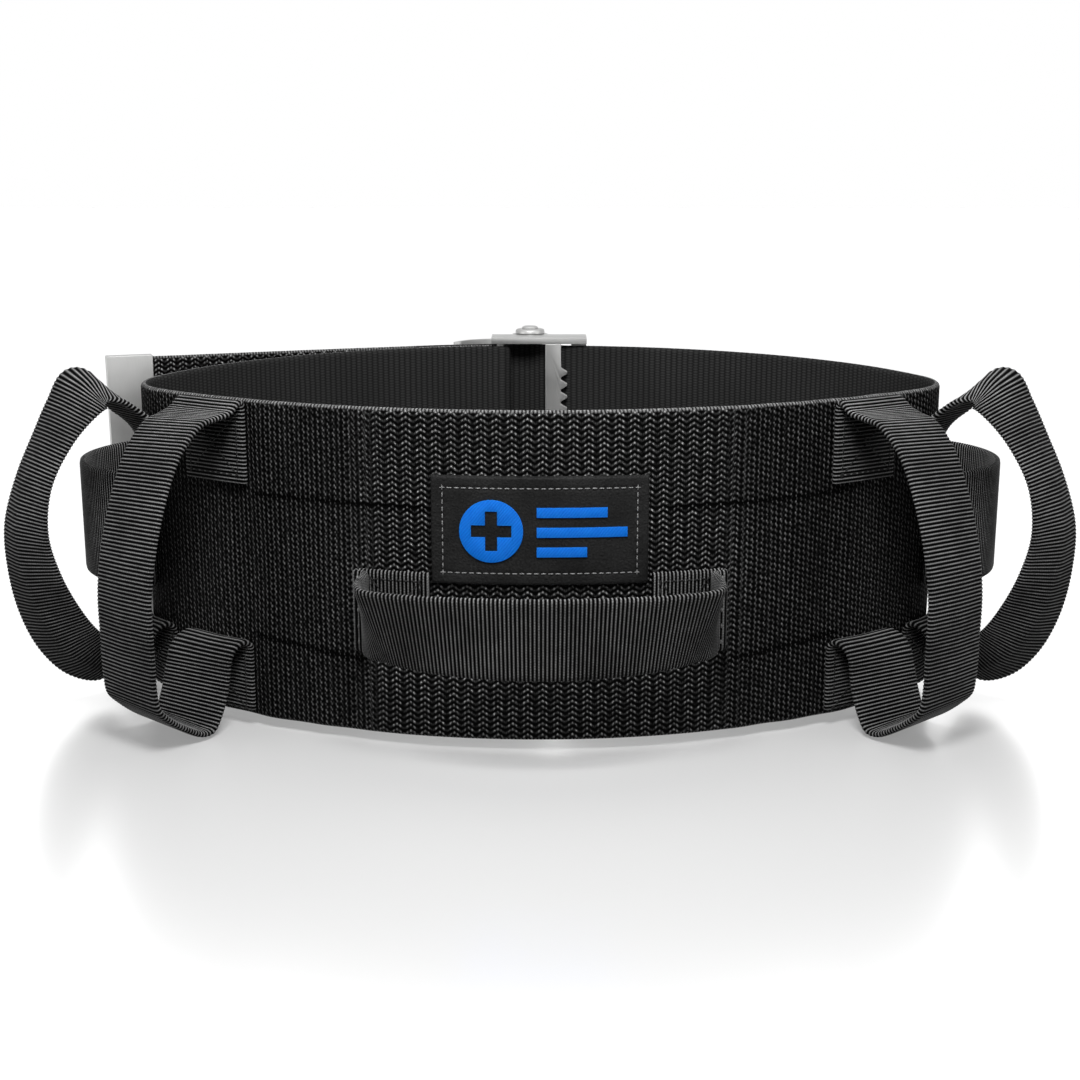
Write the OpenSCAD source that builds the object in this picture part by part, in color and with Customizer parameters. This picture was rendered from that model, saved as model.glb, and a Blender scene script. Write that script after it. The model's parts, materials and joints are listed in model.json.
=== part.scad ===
/* [Belt webbing] */
// Width of the belt webbing, which stands on edge as the height of the loop
belt_w = 101.6; // [76:0.1:104]
// Thickness of the belt webbing
belt_t = 2.4; // [2:0.1:2.6]
// Height of the belt's lower edge above the surface it stands on
belt_lift = 3.4; // [3.2:0.1:5]
// Half of the loop's width, from the middle to the outer face
loop_half_w = 132.5; // [130:0.5:140]
// Outer radius of the gently bowed front
front_r = 183; // [175:1:200]
// Outer radius of the two tight side bends
side_r = 32.5; // [30:0.5:36]
// Outer radius of the back
rear_r = 138; // [134:1:145]

/* [Handles] */
// Width of the hand strap webbing on the front and upright handles
strap_w = 25.4; // [20:0.1:26]
// Width of the webbing of the two level side handles
side_strap_w = 38; // [30:0.5:39]
// Thickness of the hand strap webbing
strap_t = 1.8; // [1.4:0.1:2]
// Length of each sewn end
tab_len = 24; // [18:1:25]
// Distance from the belt at which a strap starts to swing freely
free_from = 11.5; // [11.5:0.5:13]

/* [Name patch] */
// Width of the patch
patch_w = 65; // [50:1:70]
// Height of the patch
patch_h = 33; // [24:1:33]
// Thickness of the patch
patch_t = 1.4; // [1:0.1:1.6]

/* [Buckle] */
// Diameter of the lever's hinge pin
pin_d = 4; // [3.5:0.1:4.2]
// Thickness of the buckle's top and bottom ears
ear_t = 2.4; // [2:0.1:2.6]
// Thickness of the lever's sheet metal
lever_t = 1.5; // [1.2:0.1:1.8]
// Distance between two teeth of the grip plate
tooth_pitch = 4.8; // [4:0.1:6]

/* [Belt tail] */
// Length of the loose end, with its metal tip
tail_len = 119; // [80:1:122]
// Length of the metal tip
tip_len = 17; // [12:1:22]

/* [Hidden] */
$fn = 180;
small = 0.01;

// The loop's outline is three arcs that meet smoothly, from the front centre round to the back.
side_x = loop_half_w - side_r;
front_a = asin(side_x / (front_r - side_r));
rear_a = asin(side_x / (rear_r - side_r));
side_y = front_r - sqrt(pow(front_r - side_r, 2) - pow(side_x, 2));
rear_y = side_y - sqrt(pow(rear_r - side_r, 2) - pow(side_x, 2));
arc_centre = [[0, front_r], [side_x, side_y], [0, rear_y]];
arc_r = [front_r, side_r, rear_r];
arc_from = [-90, front_a - 90, 90 - rear_a];
arc_to = [front_a - 90, 90 - rear_a, 90];
function arc_len(i) = arc_r[i] * (arc_to[i] - arc_from[i]) * PI / 180;
arc_s = [0, arc_len(0), arc_len(0) + arc_len(1), arc_len(0) + arc_len(1) + arc_len(2)];

// A place on the outer face is its distance s along that outline, from the front centre.
function arc_at(s) = s < arc_s[1] ? 0 : s < arc_s[2] ? 1 : 2;
function wall_angle(s) = let (i = arc_at(s)) arc_from[i] + (s - arc_s[i]) / arc_r[i] * 180 / PI;
function polar(r, a) = [r * cos(a), r * sin(a)];
function on_wall(s, out = 0) = let (i = arc_at(s)) arc_centre[i] + polar(arc_r[i] + out, wall_angle(s));
function on_rear(r, a) = arc_centre[2] + polar(r, a);

// Heights of the sewn ends, measured from the surface that the belt stands on
strap_mid_z = belt_lift + 39.7;
level_mid_z = belt_lift + belt_w / 2;
front_top_z = belt_lift + 96;
low_fold_z = belt_lift + 26;
side_top_z = belt_lift + 88;
side_tab_len = 17;
centre_tab_len = 22.5;
fold_len = 5;
fold_t = 2 * strap_t + 0.3;

// Where each handle sits along the outline
front_s = 107;
side_s = 140.2;
centre_s = 56;
level_near_s = 140;
level_far_s = 218;

// The centre handle's bow, seen from above
centre_r = 98.5;
centre_y = 71.9;
centre_leg_x = 56;
centre_corner_r = 8;

// The level side handles' bow, seen from above
level_r = 43;
level_out = 2;
level_start_a = 19;

// The buckle, at the back
pivot = [-4, rear_y + 149.5];
bow_centre = [-16.5, rear_y + 139.1];
bow_r = 18.8;
bow_from = 48;
bow_to = 165;
ear_x0 = -19.2;
ear_x1 = 18.4;
ear_y0 = rear_y + 132.9;
ear_y1 = rear_y + 147;
ear_top_z = belt_lift + belt_w + 1;
lever_gap = 0.4;
pin_play = 0.06;
bar_r = 1.5;
bar_a = 96.5;
bar_pos = on_rear(rear_r + 0.05, bar_a);
sewn_to = 110;
rear_stop = 85;
loop_step = 3;
pass_r = rear_r + 7;
pass_from = 92.5;
tail_a = 110;
thread = 0.8;
thread_h = 0.4;
thread_clear = 0.03;

// Everything is shifted so that the origin is under the middle of the whole object.
front_reach = centre_y - centre_r - strap_t / 2;
rear_reach = bow_centre[1] + bow_r;
mid_y = (front_reach + rear_reach) / 2;

webbing_colour = [0.06, 0.06, 0.065];
strap_colour = [0.10, 0.10, 0.105];
metal_colour = [0.75, 0.75, 0.74];
thread_colour = [0.16, 0.16, 0.17];
patch_colour = [0.03, 0.03, 0.03];
emblem_colour = [0.02, 0.2, 0.85];

module place() { translate([0, -mid_y, 0]) children(); }
module other_side() { mirror([1, 0, 0]) children(); }

// A ring sector: radius r0 to r1, angle a0 to a1, height z to z + h
module sector(centre, r0, r1, a0, a1, z, h)
    translate([centre[0], centre[1], z]) rotate(a0)
        rotate_extrude(angle = a1 - a0) translate([r0, 0]) square([r1 - r0, h]);

// A layer that follows the outer face from s0 to s1, between two distances out of it
module strip(s0, s1, out0, out1, z, h)
    for (i = [0:2])
        let (a = max(s0, arc_s[i]), b = min(s1, arc_s[i + 1]), k = 180 / PI / arc_r[i])
            if (b > a + small)
                sector(arc_centre[i], arc_r[i] + out0, arc_r[i] + out1,
                    arc_from[i] + (a - arc_s[i]) * k, arc_from[i] + (b - arc_s[i]) * k, z, h);

// The same layer in short flat steps, for the small pieces sewn on across a bend
function wall_path(s0, s1, out, step = 2) = let (n = ceil((s1 - s0) / step))
    [for (i = [0:n]) on_wall(s0 + (s1 - s0) * i / n, out)];
function reversed(p) = [for (i = [len(p) - 1:-1:0]) p[i]];
module plate(s0, s1, out0, out1, z, h)
    translate([0, 0, z]) linear_extrude(h)
        polygon(concat(wall_path(s0, s1, out1), reversed(wall_path(s0, s1, out0))));

// A closed outline of thickness t around an open path
function unit(v) = v / norm(v);
function path_dir(p, i) = unit(p[min(i + 1, len(p) - 1)] - p[max(i - 1, 0)]);
function path_side(p, i, d) = p[i] + d * [-path_dir(p, i)[1], path_dir(p, i)[0]];
function ribbon(p, t) = concat(
    [for (i = [0:len(p) - 1]) path_side(p, i, t / 2)],
    reversed([for (i = [0:len(p) - 1]) path_side(p, i, -t / 2)]));
function arc_path(c, r, a0, a1, n) = [for (k = [0:n]) c + polar(r, a0 + (a1 - a0) * k / n)];

// Quarter of a rounded box: exponent 2 is an ellipse, and higher ones are squarer
function quarter(c, a, b, power, t0, t1, n) = [for (k = [0:n])
    let (t = t0 + (t1 - t0) * k / n)
        c + [a * pow(max(cos(t), 0), 2 / power), b * sign(sin(t)) * pow(abs(sin(t)), 2 / power)]];

// The whole belt seen from above, from its sewn-back end round the loop to where the loose end leaves
function rear_path(r, a0, a1) = arc_path(arc_centre[2], r, a0, a1, ceil(abs(a1 - a0) / 1.5));
function flip(p) = [for (q = p) [-q[0], q[1]]];
function loop_path(out) = concat(
    reversed(flip(wall_path(small, s_at_rear(180 - sewn_to), out, loop_step))),
    wall_path(0, s_at_rear(rear_stop), out, loop_step));
function s_at_rear(a) = arc_s[2] + (a - arc_from[2]) * arc_r[2] * PI / 180;

// The loose end steps outwards between the grip plate and the lever, and lies over the sewn-back end
belt_outline = concat(
    rear_path(rear_r + belt_t, bar_a, sewn_to), loop_path(0), rear_path(pass_r, pass_from, tail_a),
    rear_path(pass_r - belt_t, tail_a, pass_from), reversed(loop_path(-belt_t)),
    rear_path(rear_r - belt_t, sewn_to - 1, bar_a));
module belt_webbing() color(webbing_colour) place() difference() {
    union() {
        translate([0, 0, belt_lift]) linear_extrude(belt_w) polygon(belt_outline);
        translate([bar_pos[0], bar_pos[1], belt_lift]) cylinder(r = bar_r + 2.5, h = belt_w);
    }
    translate([bar_pos[0], bar_pos[1], belt_lift - 1]) cylinder(r = bar_r + 0.1, h = belt_w + 2);
}

// Rows of thread across the sewn-back end
module fold_stitching() color(thread_colour) place()
    for (a = [100.5, 101.7, 107, 108.2])
        sector(arc_centre[2], rear_r + belt_t, rear_r + belt_t + thread_h, a, a + 0.3,
            belt_lift + 4, belt_w - 8);

// Name patch, centred on the front
patch_z = belt_lift + 49.3;
module patch_layer(half_w, out0, out1, z, h)
    for (side = [0, 1]) mirror([side, 0, 0]) strip(0, half_w, out0, out1, z, h);
module name_patch() color(patch_colour) place()
    patch_layer(patch_w / 2, 0, patch_t, patch_z, patch_h);
module patch_stitching() color(thread_colour) place() difference() {
    patch_layer(patch_w / 2 - 3.5, patch_t, patch_t + thread_h, patch_z + 3, patch_h - 6);
    patch_layer(patch_w / 2 - 3.5 - thread, 0, patch_t + 1, patch_z + 3 + thread, patch_h - 6 - 2 * thread);
}

// A plain round badge with a cross cut out of it, and three plain bars
module patch_emblem() color(emblem_colour) place() intersection() {
    patch_layer(patch_w / 2 - 6, patch_t, patch_t + thread_h, patch_z, patch_h);
    translate([0, front_r / 4, patch_z + patch_h / 2]) rotate([90, 0, 0]) linear_extrude(front_r / 2) {
        difference() {
            translate([-14.5, 0]) circle(d = 19);
            translate([-14.5, 0]) square([12, 3.6], center = true);
            translate([-14.5, 0]) square([3.6, 12], center = true);
        }
        for (bar = [[21, 5.6], [27, -0.4], [15, -6.4]])
            translate([-1, bar[1] - 1.4]) square([bar[0], 3]);
    }
}

// A sewn end with its doubled fold; upright ends fold at the top, level ends at fold_s
module upright_tab(s, z_fold, len) {
    plate(s - strap_w / 2, s + strap_w / 2, 0, strap_t, z_fold - len, len);
    plate(s - strap_w / 2, s + strap_w / 2, 0, fold_t, z_fold - fold_len, fold_len);
}
module level_tab(fold_s, dir, width, mid_z, len = tab_len) {
    s1 = fold_s + dir * len;
    f1 = fold_s + dir * fold_len;
    plate(min(fold_s, s1), max(fold_s, s1), 0, strap_t, mid_z - width / 2, width);
    plate(min(fold_s, f1), max(fold_s, f1), 0, fold_t, mid_z - width / 2, width);
}

// Thread on a sewn end: a box, with one row across its middle, below or beside the fold
module stitch_box(s0, s1, z0, z1) {
    out = strap_t + thread_clear;
    for (z = [z0, (z0 + z1) / 2, z1]) plate(s0, s1, out, out + thread_h, z - thread / 2, thread);
    for (s = [s0, s1])
        plate(s - thread / 2, s + thread / 2, out, out + thread_h, z0 - thread / 2, z1 - z0 + thread);
}
module upright_stitches(s, z_fold, len)
    stitch_box(s - strap_w / 2 + 3, s + strap_w / 2 - 3, z_fold - len + 2.5, z_fold - fold_len - 2.5);
module level_stitches(fold_s, dir, width, mid_z, len = tab_len) {
    a = fold_s + dir * (fold_len + 2.5);
    b = fold_s + dir * (len - 2.5);
    stitch_box(min(a, b), max(a, b), mid_z - width / 2 + 3, mid_z + width / 2 - 3);
}

// Centre handle
function centre_half() =
    let (cx = centre_leg_x - centre_corner_r,
         reach = centre_r - centre_corner_r,
         cy = centre_y - sqrt(pow(reach, 2) - pow(cx, 2)),
         turn = asin(cx / reach),
         leg_y = front_r - sqrt(pow(front_r + free_from - 0.5, 2) - pow(centre_leg_x, 2)))
    concat([[centre_leg_x, leg_y]],
        arc_path([cx, cy], centre_corner_r, 0, turn - 90, 8),
        arc_path([0, centre_y], centre_r, turn - 92, -90, 14));
centre_path = concat(centre_half(), [for (p = reversed(centre_half())) if (p[0] > small) [-p[0], p[1]]]);
module centre_strap() color(strap_colour) place()
    translate([0, 0, strap_mid_z - strap_w / 2]) linear_extrude(strap_w)
        polygon(ribbon(centre_path, strap_t));
module centre_right_tab() color(strap_colour) place()
    level_tab(centre_s, -1, strap_w, strap_mid_z, centre_tab_len);
module centre_left_tab() other_side() centre_right_tab();
module centre_stitching() color(thread_colour) place()
    for (side = [0, 1]) mirror([side, 0, 0])
        level_stitches(centre_s, -1, strap_w, strap_mid_z, centre_tab_len);

// Upright handles: the path runs out, down and back, in distance from the belt and height
front_path = concat(
    quarter([free_from, belt_lift + 46], 26.5, 50, 2, 90, 0, 14),
    quarter([free_from, belt_lift + 46], 26.5, 48, 4, -4, -90, 14));
side_path = concat(
    [[free_from, belt_lift + 106.5]],
    quarter([18, belt_lift + 58], 26.5, 51, 2, 90, 0, 14),
    quarter([18, belt_lift + 58], 26.5, 49, 2, -8, -90, 14),
    [[free_from, belt_lift + 9.5]]);
module upright_strap(s, path) color(strap_colour) place()
    translate([on_wall(s)[0], on_wall(s)[1], 0]) rotate(wall_angle(s))
        rotate([90, 0, 0]) linear_extrude(strap_w, center = true) polygon(ribbon(path, strap_t));

module front_right_strap() upright_strap(front_s, front_path);
module front_right_upper_tab() color(strap_colour) place() upright_tab(front_s, front_top_z, tab_len);
module front_right_lower_tab() color(strap_colour) place() upright_tab(front_s, low_fold_z, tab_len);
module front_right_stitching() color(thread_colour) place()
    for (z = [front_top_z, low_fold_z]) upright_stitches(front_s, z, tab_len);
module front_left_strap() other_side() front_right_strap();
module front_left_upper_tab() other_side() front_right_upper_tab();
module front_left_lower_tab() other_side() front_right_lower_tab();
module front_left_stitching() other_side() front_right_stitching();

module side_right_strap() upright_strap(side_s, side_path);
module side_right_upper_tab() color(strap_colour) place() upright_tab(side_s, side_top_z, side_tab_len);
module side_right_lower_tab() color(strap_colour) place() upright_tab(side_s, low_fold_z, tab_len);
module side_right_stitching() color(thread_colour) place() {
    upright_stitches(side_s, side_top_z, side_tab_len);
    upright_stitches(side_s, low_fold_z, tab_len);
}
module side_left_strap() other_side() side_right_strap();
module side_left_upper_tab() other_side() side_right_upper_tab();
module side_left_lower_tab() other_side() side_right_lower_tab();
module side_left_stitching() other_side() side_right_stitching();

// Level side handles: a wide strap that bows out sideways between its two sewn ends
level_chord = on_wall(level_far_s) - on_wall(level_near_s);
level_chord_a = atan2(level_chord[1], level_chord[0]);
level_centre = (on_wall(level_near_s) + on_wall(level_far_s)) / 2 + polar(level_out, level_chord_a - 90);
module level_right_strap() color(strap_colour) place()
    sector(level_centre, level_r - strap_t / 2, level_r + strap_t / 2,
        level_chord_a - 180 + level_start_a, level_chord_a - level_start_a,
        level_mid_z - side_strap_w / 2, side_strap_w);
module level_right_near_tab() color(strap_colour) place()
    level_tab(level_near_s, 1, side_strap_w, level_mid_z);
module level_right_far_tab() color(strap_colour) place()
    level_tab(level_far_s, -1, side_strap_w, level_mid_z);
module level_right_stitching() color(thread_colour) place() {
    level_stitches(level_near_s, 1, side_strap_w, level_mid_z);
    level_stitches(level_far_s, -1, side_strap_w, level_mid_z);
}
module level_left_strap() other_side() level_right_strap();
module level_left_near_tab() other_side() level_right_near_tab();
module level_left_far_tab() other_side() level_right_far_tab();
module level_left_stitching() other_side() level_right_stitching();

// One ear of the buckle's frame, flat above or below the webbing, with its two holes
module ear() linear_extrude(ear_t) difference() {
    union() {
        translate([ear_x0, ear_y0]) square([ear_x1 - ear_x0, ear_y1 - ear_y0]);
        translate(pivot) circle(r = 7);
        translate([pivot[0] - 7, ear_y0]) square([14, pivot[1] - ear_y0]);
    }
    translate(pivot) circle(r = pin_d / 2 + 0.02);
    translate(bar_pos) circle(r = bar_r + 0.02);
}
module buckle_frame() color(metal_colour) place() {
    translate([0, 0, ear_top_z]) ear();
    translate([0, 0, 0]) ear();
    translate([12.4, rear_y + rear_r + 0.6, ear_t])
        cube([ear_x1 - 12.4, 2.6, ear_top_z - ear_t]);
}

// Flat plate inside the belt, its right edge cut into teeth
module grip_plate() color(metal_colour) place() {
    h = ear_top_z - ear_t;
    y0 = ear_y0;
    teeth = floor((h - 8) / tooth_pitch);
    translate([3.3, y0, ear_t]) cube([5, 1.8, h]);
    translate([2.1, y0, ear_t]) cube([1.2, 1.2, h]);
    for (i = [0:teeth - 1])
        translate([8.3, y0, ear_t + 4 + i * tooth_pitch])
            rotate([-90, 0, 0]) mirror([0, 1, 0]) linear_extrude(1.8)
                polygon([[0, 0], [2.5, tooth_pitch * 0.3], [2.5, tooth_pitch * 0.5], [0, tooth_pitch * 0.8]]);
}

module anchor_bar() color(metal_colour) place()
    translate([bar_pos[0], bar_pos[1], 0]) cylinder(r = bar_r, h = ear_top_z + ear_t);

// The hinge pin is flush below and has a rivet head above its washer
module hinge_pin() color(metal_colour) place() translate([pivot[0], pivot[1], 0]) {
    cylinder(d = pin_d, h = ear_top_z + ear_t + 2);
    translate([0, 0, ear_top_z + ear_t + 2]) cylinder(d = pin_d + 2.4, h = 0.6);
    translate([0, 0, ear_top_z + ear_t + 2.6]) cylinder(d1 = pin_d + 2.4, d2 = pin_d, h = 0.6);
}
module pin_washers() color(metal_colour) place() translate([pivot[0], pivot[1], ear_top_z + ear_t])
    difference() {
        union() {
            cylinder(d = 11.6, h = 1.4);
            translate([0, 0, 1.4]) cylinder(d1 = 11.6, d2 = 10.4, h = 0.6);
        }
        translate([0, 0, -1]) cylinder(d = pin_d + 0.04, h = 4);
    }

// The lever: a bowed finger plate with a flange near each end, and a cam along the pin
module lever() color(metal_colour) place() {
    z0 = ear_t + lever_gap;
    h = ear_top_z - z0 - lever_gap;
    translate([0, 0, z0]) linear_extrude(h) difference() {
        lever_profile();
        translate(pivot) circle(r = pin_d / 2 + pin_play);
    }
    for (z = [z0 + 0.3, z0 + h - lever_t - 0.3])
        translate([0, 0, z]) linear_extrude(lever_t) difference() {
            flange();
            translate(pivot) circle(r = pin_d / 2 + 1);
        }
}
module lever_profile() {
    intersection() {
        difference() {
            translate(bow_centre) circle(r = bow_r);
            translate(bow_centre) circle(r = bow_r - lever_t);
        }
        polygon(concat([bow_centre], arc_path(bow_centre, 2 * bow_r, bow_from, bow_to, 4)));
    }
    translate(bow_centre + polar(bow_r - 1.9, bow_to)) circle(r = 1.5);
    translate(pivot) circle(r = 3.8);
    polygon([pivot + [-2.5, 1.5], pivot + [-4.6, -3.6], pivot + [-3.4, -4.1], pivot + [0.5, -2.4]]);
}
module flange() intersection() {
    translate(bow_centre) circle(r = bow_r - lever_t / 2);
    translate([-19, pivot[1] - 3]) square([19 + pivot[0], 14]);
}

// The loose end leaves the back in a straight line and carries a folded metal tip
module along_tail() translate(concat(on_rear(pass_r - belt_t / 2, tail_a), belt_lift)) rotate(tail_a + 90)
    children();
module tail_webbing() color(webbing_colour) place() along_tail()
    translate([2, -belt_t / 2, 0]) cube([tail_len - 4, belt_t, belt_w]);
module tail_tip() color(metal_colour) place() along_tail() difference() {
    translate([tail_len - tip_len, -belt_t / 2 - 0.8, -0.8]) cube([tip_len, belt_t + 1.6, belt_w + 1.6]);
    translate([tail_len - tip_len - 1, -belt_t / 2, 0]) cube([tip_len - 1, belt_t, belt_w]);
}

belt_webbing();
fold_stitching();
name_patch();
patch_stitching();
patch_emblem();
centre_strap();
centre_left_tab();
centre_right_tab();
centre_stitching();
front_left_strap();
front_left_upper_tab();
front_left_lower_tab();
front_left_stitching();
front_right_strap();
front_right_upper_tab();
front_right_lower_tab();
front_right_stitching();
side_left_strap();
side_left_upper_tab();
side_left_lower_tab();
side_left_stitching();
side_right_strap();
side_right_upper_tab();
side_right_lower_tab();
side_right_stitching();
level_left_strap();
level_left_near_tab();
level_left_far_tab();
level_left_stitching();
level_right_strap();
level_right_near_tab();
level_right_far_tab();
level_right_stitching();
buckle_frame();
grip_plate();
anchor_bar();
hinge_pin();
pin_washers();
lever();
tail_webbing();
tail_tip();
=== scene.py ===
"""A patient gait belt: wide webbing on edge, seven sewn hand straps, a name patch and a toothed lever buckle.

Sizes are in millimetres inside the classes and become metres when a mesh is made. Heights count from the
webbing's lower edge. The right-hand handles are described, and the left-hand ones are their mirror images.
"""

from __future__ import annotations

import json
import logging
import math
from dataclasses import dataclass, field
from enum import Enum
from typing import Any, Callable, Sequence

import bmesh
import bpy
import numpy as np
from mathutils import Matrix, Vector, noise

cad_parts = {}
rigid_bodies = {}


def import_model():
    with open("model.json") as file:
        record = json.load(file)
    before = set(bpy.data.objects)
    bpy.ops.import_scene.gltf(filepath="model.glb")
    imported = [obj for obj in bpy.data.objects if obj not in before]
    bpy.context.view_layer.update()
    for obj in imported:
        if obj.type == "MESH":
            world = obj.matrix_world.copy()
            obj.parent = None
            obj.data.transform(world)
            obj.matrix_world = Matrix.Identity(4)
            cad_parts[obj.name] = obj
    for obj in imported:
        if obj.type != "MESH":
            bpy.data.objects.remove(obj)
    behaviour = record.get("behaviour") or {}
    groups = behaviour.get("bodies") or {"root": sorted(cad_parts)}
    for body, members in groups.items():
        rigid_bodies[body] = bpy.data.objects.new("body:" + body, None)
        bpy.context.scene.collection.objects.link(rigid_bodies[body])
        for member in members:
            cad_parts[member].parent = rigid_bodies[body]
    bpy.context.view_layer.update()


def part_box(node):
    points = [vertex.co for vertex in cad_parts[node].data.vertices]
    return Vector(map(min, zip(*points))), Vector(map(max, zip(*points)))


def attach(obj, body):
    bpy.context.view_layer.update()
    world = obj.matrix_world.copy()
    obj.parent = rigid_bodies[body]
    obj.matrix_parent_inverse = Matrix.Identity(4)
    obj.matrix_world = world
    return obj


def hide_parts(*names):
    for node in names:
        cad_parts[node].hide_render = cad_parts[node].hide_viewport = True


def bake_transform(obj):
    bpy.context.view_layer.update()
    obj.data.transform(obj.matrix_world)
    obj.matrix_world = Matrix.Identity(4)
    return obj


LOG = logging.getLogger("gait_belt")
MM = 0.001
TURN = 2 * math.pi
EASED_FROM, EASED_SHARP, ROUND_SHARP = (math.radians(a) for a in (35, 20, 40))
UV_NAME = "cloth"


class Side(Enum):
    """Which side of the belt a handle is on, as the sign of X."""

    LEFT = -1
    RIGHT = 1

    @property
    def label(self) -> str:
        """The word used in piece names."""
        return self.name.lower()


# ---------------------------------------------------------------------------
# Node trees
# ---------------------------------------------------------------------------


class Value:
    """A number socket of a node tree; arithmetic on it adds Math nodes."""

    def __init__(self, tree: "Tree", socket: Any) -> None:
        """Wraps one output socket.

        Args:
            tree: the tree that the socket belongs to.
            socket: the output socket.
        """
        self.tree = tree
        self.socket = socket

    def math(self, operation: str, *others: "Value | float") -> "Value":
        """Adds a Math node on this value and others.

        Args:
            operation: the Math node's operation.
            others: the second and third operands.

        Returns:
            The node's result.
        """
        made = self.tree.node("ShaderNodeMath", {"operation": operation}, dict(enumerate((self, *others))))
        return Value(self.tree, made.outputs[0])

    def _flipped(self, operation: str, other: float) -> "Value":
        """The same with the operands exchanged, for the reflected operators."""
        made = self.tree.node("ShaderNodeMath", {"operation": operation}, {0: other, 1: self})
        return Value(self.tree, made.outputs[0])

    def __add__(self, other: "Value | float") -> "Value":
        """Sum."""
        return self.math("ADD", other)

    __radd__ = __add__

    def __sub__(self, other: "Value | float") -> "Value":
        """Difference."""
        return self.math("SUBTRACT", other)

    def __rsub__(self, other: float) -> "Value":
        """Reflected difference, as in 1 - mask."""
        return self._flipped("SUBTRACT", other)

    def __mul__(self, other: "Value | float") -> "Value":
        """Product."""
        return self.math("MULTIPLY", other)

    __rmul__ = __mul__

    def __truediv__(self, other: "Value | float") -> "Value":
        """Quotient."""
        return self.math("DIVIDE", other)

    def __pow__(self, other: float) -> "Value":
        """Power."""
        return self.math("POWER", other)

    def __abs__(self) -> "Value":
        """Absolute value."""
        return self.math("ABSOLUTE")

    def fract(self) -> "Value":
        """Part after the decimal point."""
        return self.math("FRACT")

    def wave(self, pitch: float) -> "Value":
        """A cosine of that pitch, from 0 to 1."""
        return (self * (TURN / pitch)).math("COSINE") * 0.5 + 0.5

    def bell(self, centre: "Value | float", half_width: float) -> "Value":
        """A rounded bump of height 1 at centre."""
        return ((self - centre) / half_width).math("POWER", 2.0).math("MULTIPLY", -1.0).math("EXPONENT")

    def step(self, low: float, high: float) -> "Value":
        """A smooth rise from 0 to 1.

        Args:
            low: value where the rise starts.
            high: value where it ends.

        Returns:
            The new value.
        """
        made = self.tree.node(
            "ShaderNodeMapRange", {"interpolation_type": "SMOOTHSTEP"}, {0: self, 1: low, 2: high}
        )
        return Value(self.tree, made.outputs[0])


class Tree:
    """A node tree under construction, for a material or for Geometry Nodes."""

    def __init__(self, nodes: Any) -> None:
        """Starts on an empty tree.

        Args:
            nodes: the Blender node tree.
        """
        self.data = nodes
        self.data.nodes.clear()

    def node(self, kind: str, settings: dict[str, Any] | None = None, inputs: dict[Any, Any] | None = None) -> Any:
        """Adds a node.

        Args:
            kind: the node's type.
            settings: properties, which are set before the sockets.
            inputs: values or links by socket name or index.

        Returns:
            The new node.
        """
        made = self.data.nodes.new(kind)
        for name, value in (settings or {}).items():
            setattr(made, name, value)
        for key, value in (inputs or {}).items():
            if isinstance(value, Value):
                value = value.socket
            if isinstance(value, bpy.types.NodeSocket):
                self.data.links.new(value, made.inputs[key])
            else:
                made.inputs[key].default_value = value
        return made

    def value(self, socket: Any) -> Value:
        """Wraps a socket for arithmetic."""
        return Value(self, socket)

    def blend(self, factor: Value | float, low: Any, high: Any) -> Any:
        """Mixes two colours.

        Args:
            factor: share of the second colour.
            low: first colour, as a tuple or a link.
            high: second colour, as a tuple or a link.

        Returns:
            The colour output.
        """
        made = self.node("ShaderNodeMix", {"data_type": "RGBA"}, {0: factor, 6: low, 7: high})
        return made.outputs[2]

    def noise(self, vector: Any, scale: float, detail: float = 2.0) -> Value:
        """Smooth noise from 0 to 1 on a vector."""
        made = self.node("ShaderNodeTexNoise", None, {"Vector": vector, "Scale": scale, "Detail": detail})
        return Value(self, made.outputs["Fac" if "Fac" in made.outputs else 0])


class Shader(Tree):
    """A material whose only surface is one Principled shader."""

    def __init__(self, name: str, constants: dict[str, Any]) -> None:
        """Makes the material.

        Args:
            name: the material's name.
            constants: values of sockets that are the same all over.
        """
        self.material = bpy.data.materials.new(name)
        self.material.use_nodes = True
        super().__init__(self.material.node_tree)
        self.surface = self.node("ShaderNodeBsdfPrincipled", None, constants)
        self.node("ShaderNodeOutputMaterial", None, {"Surface": self.surface.outputs[0]})

    def cloth_coords(self) -> tuple[Value, Value]:
        """The piece's own along and across distances, in millimetres.

        Returns:
            The distance along and the distance across.
        """
        uv = self.node("ShaderNodeUVMap", {"uv_map": UV_NAME})
        parts = self.node("ShaderNodeSeparateXYZ", None, {0: uv.outputs[0]})
        return self.value(parts.outputs[0]) / MM, self.value(parts.outputs[1]) / MM

    def cloth_vector(self) -> Any:
        """The piece's own map as a vector, in metres."""
        return self.node("ShaderNodeUVMap", {"uv_map": UV_NAME}).outputs[0]

    def object_vector(self) -> Any:
        """Object coordinates, in metres."""
        return self.node("ShaderNodeTexCoord").outputs["Object"]

    def dress(self, colour: Any, roughness: Value | float, height: Value, relief: float) -> bpy.types.Material:
        """Links what changes over the surface.

        Args:
            colour: the colour output.
            roughness: roughness.
            height: height of the relief, from 0 to 1.
            relief: depth of the relief, in millimetres.

        Returns:
            The finished material.
        """
        bump = self.node("ShaderNodeBump", None, {"Strength": 1.0, "Distance": relief * MM, "Height": height})
        links = {"Base Color": colour, "Roughness": roughness, "Normal": bump.outputs[0]}
        for name, source in links.items():
            if isinstance(source, (int, float)):
                self.surface.inputs[name].default_value = source
            else:
                socket = source.socket if isinstance(source, Value) else source
                self.data.links.new(socket, self.surface.inputs[name])
        return self.material


def grey(level: float, warmth: float = 0.0) -> tuple[float, float, float, float]:
    """A near-neutral colour; warmth moves it from blue to red."""
    return (level * (1 + warmth), level, level * (1 - warmth), 1.0)


# ---------------------------------------------------------------------------
# Finishes
# ---------------------------------------------------------------------------


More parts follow.
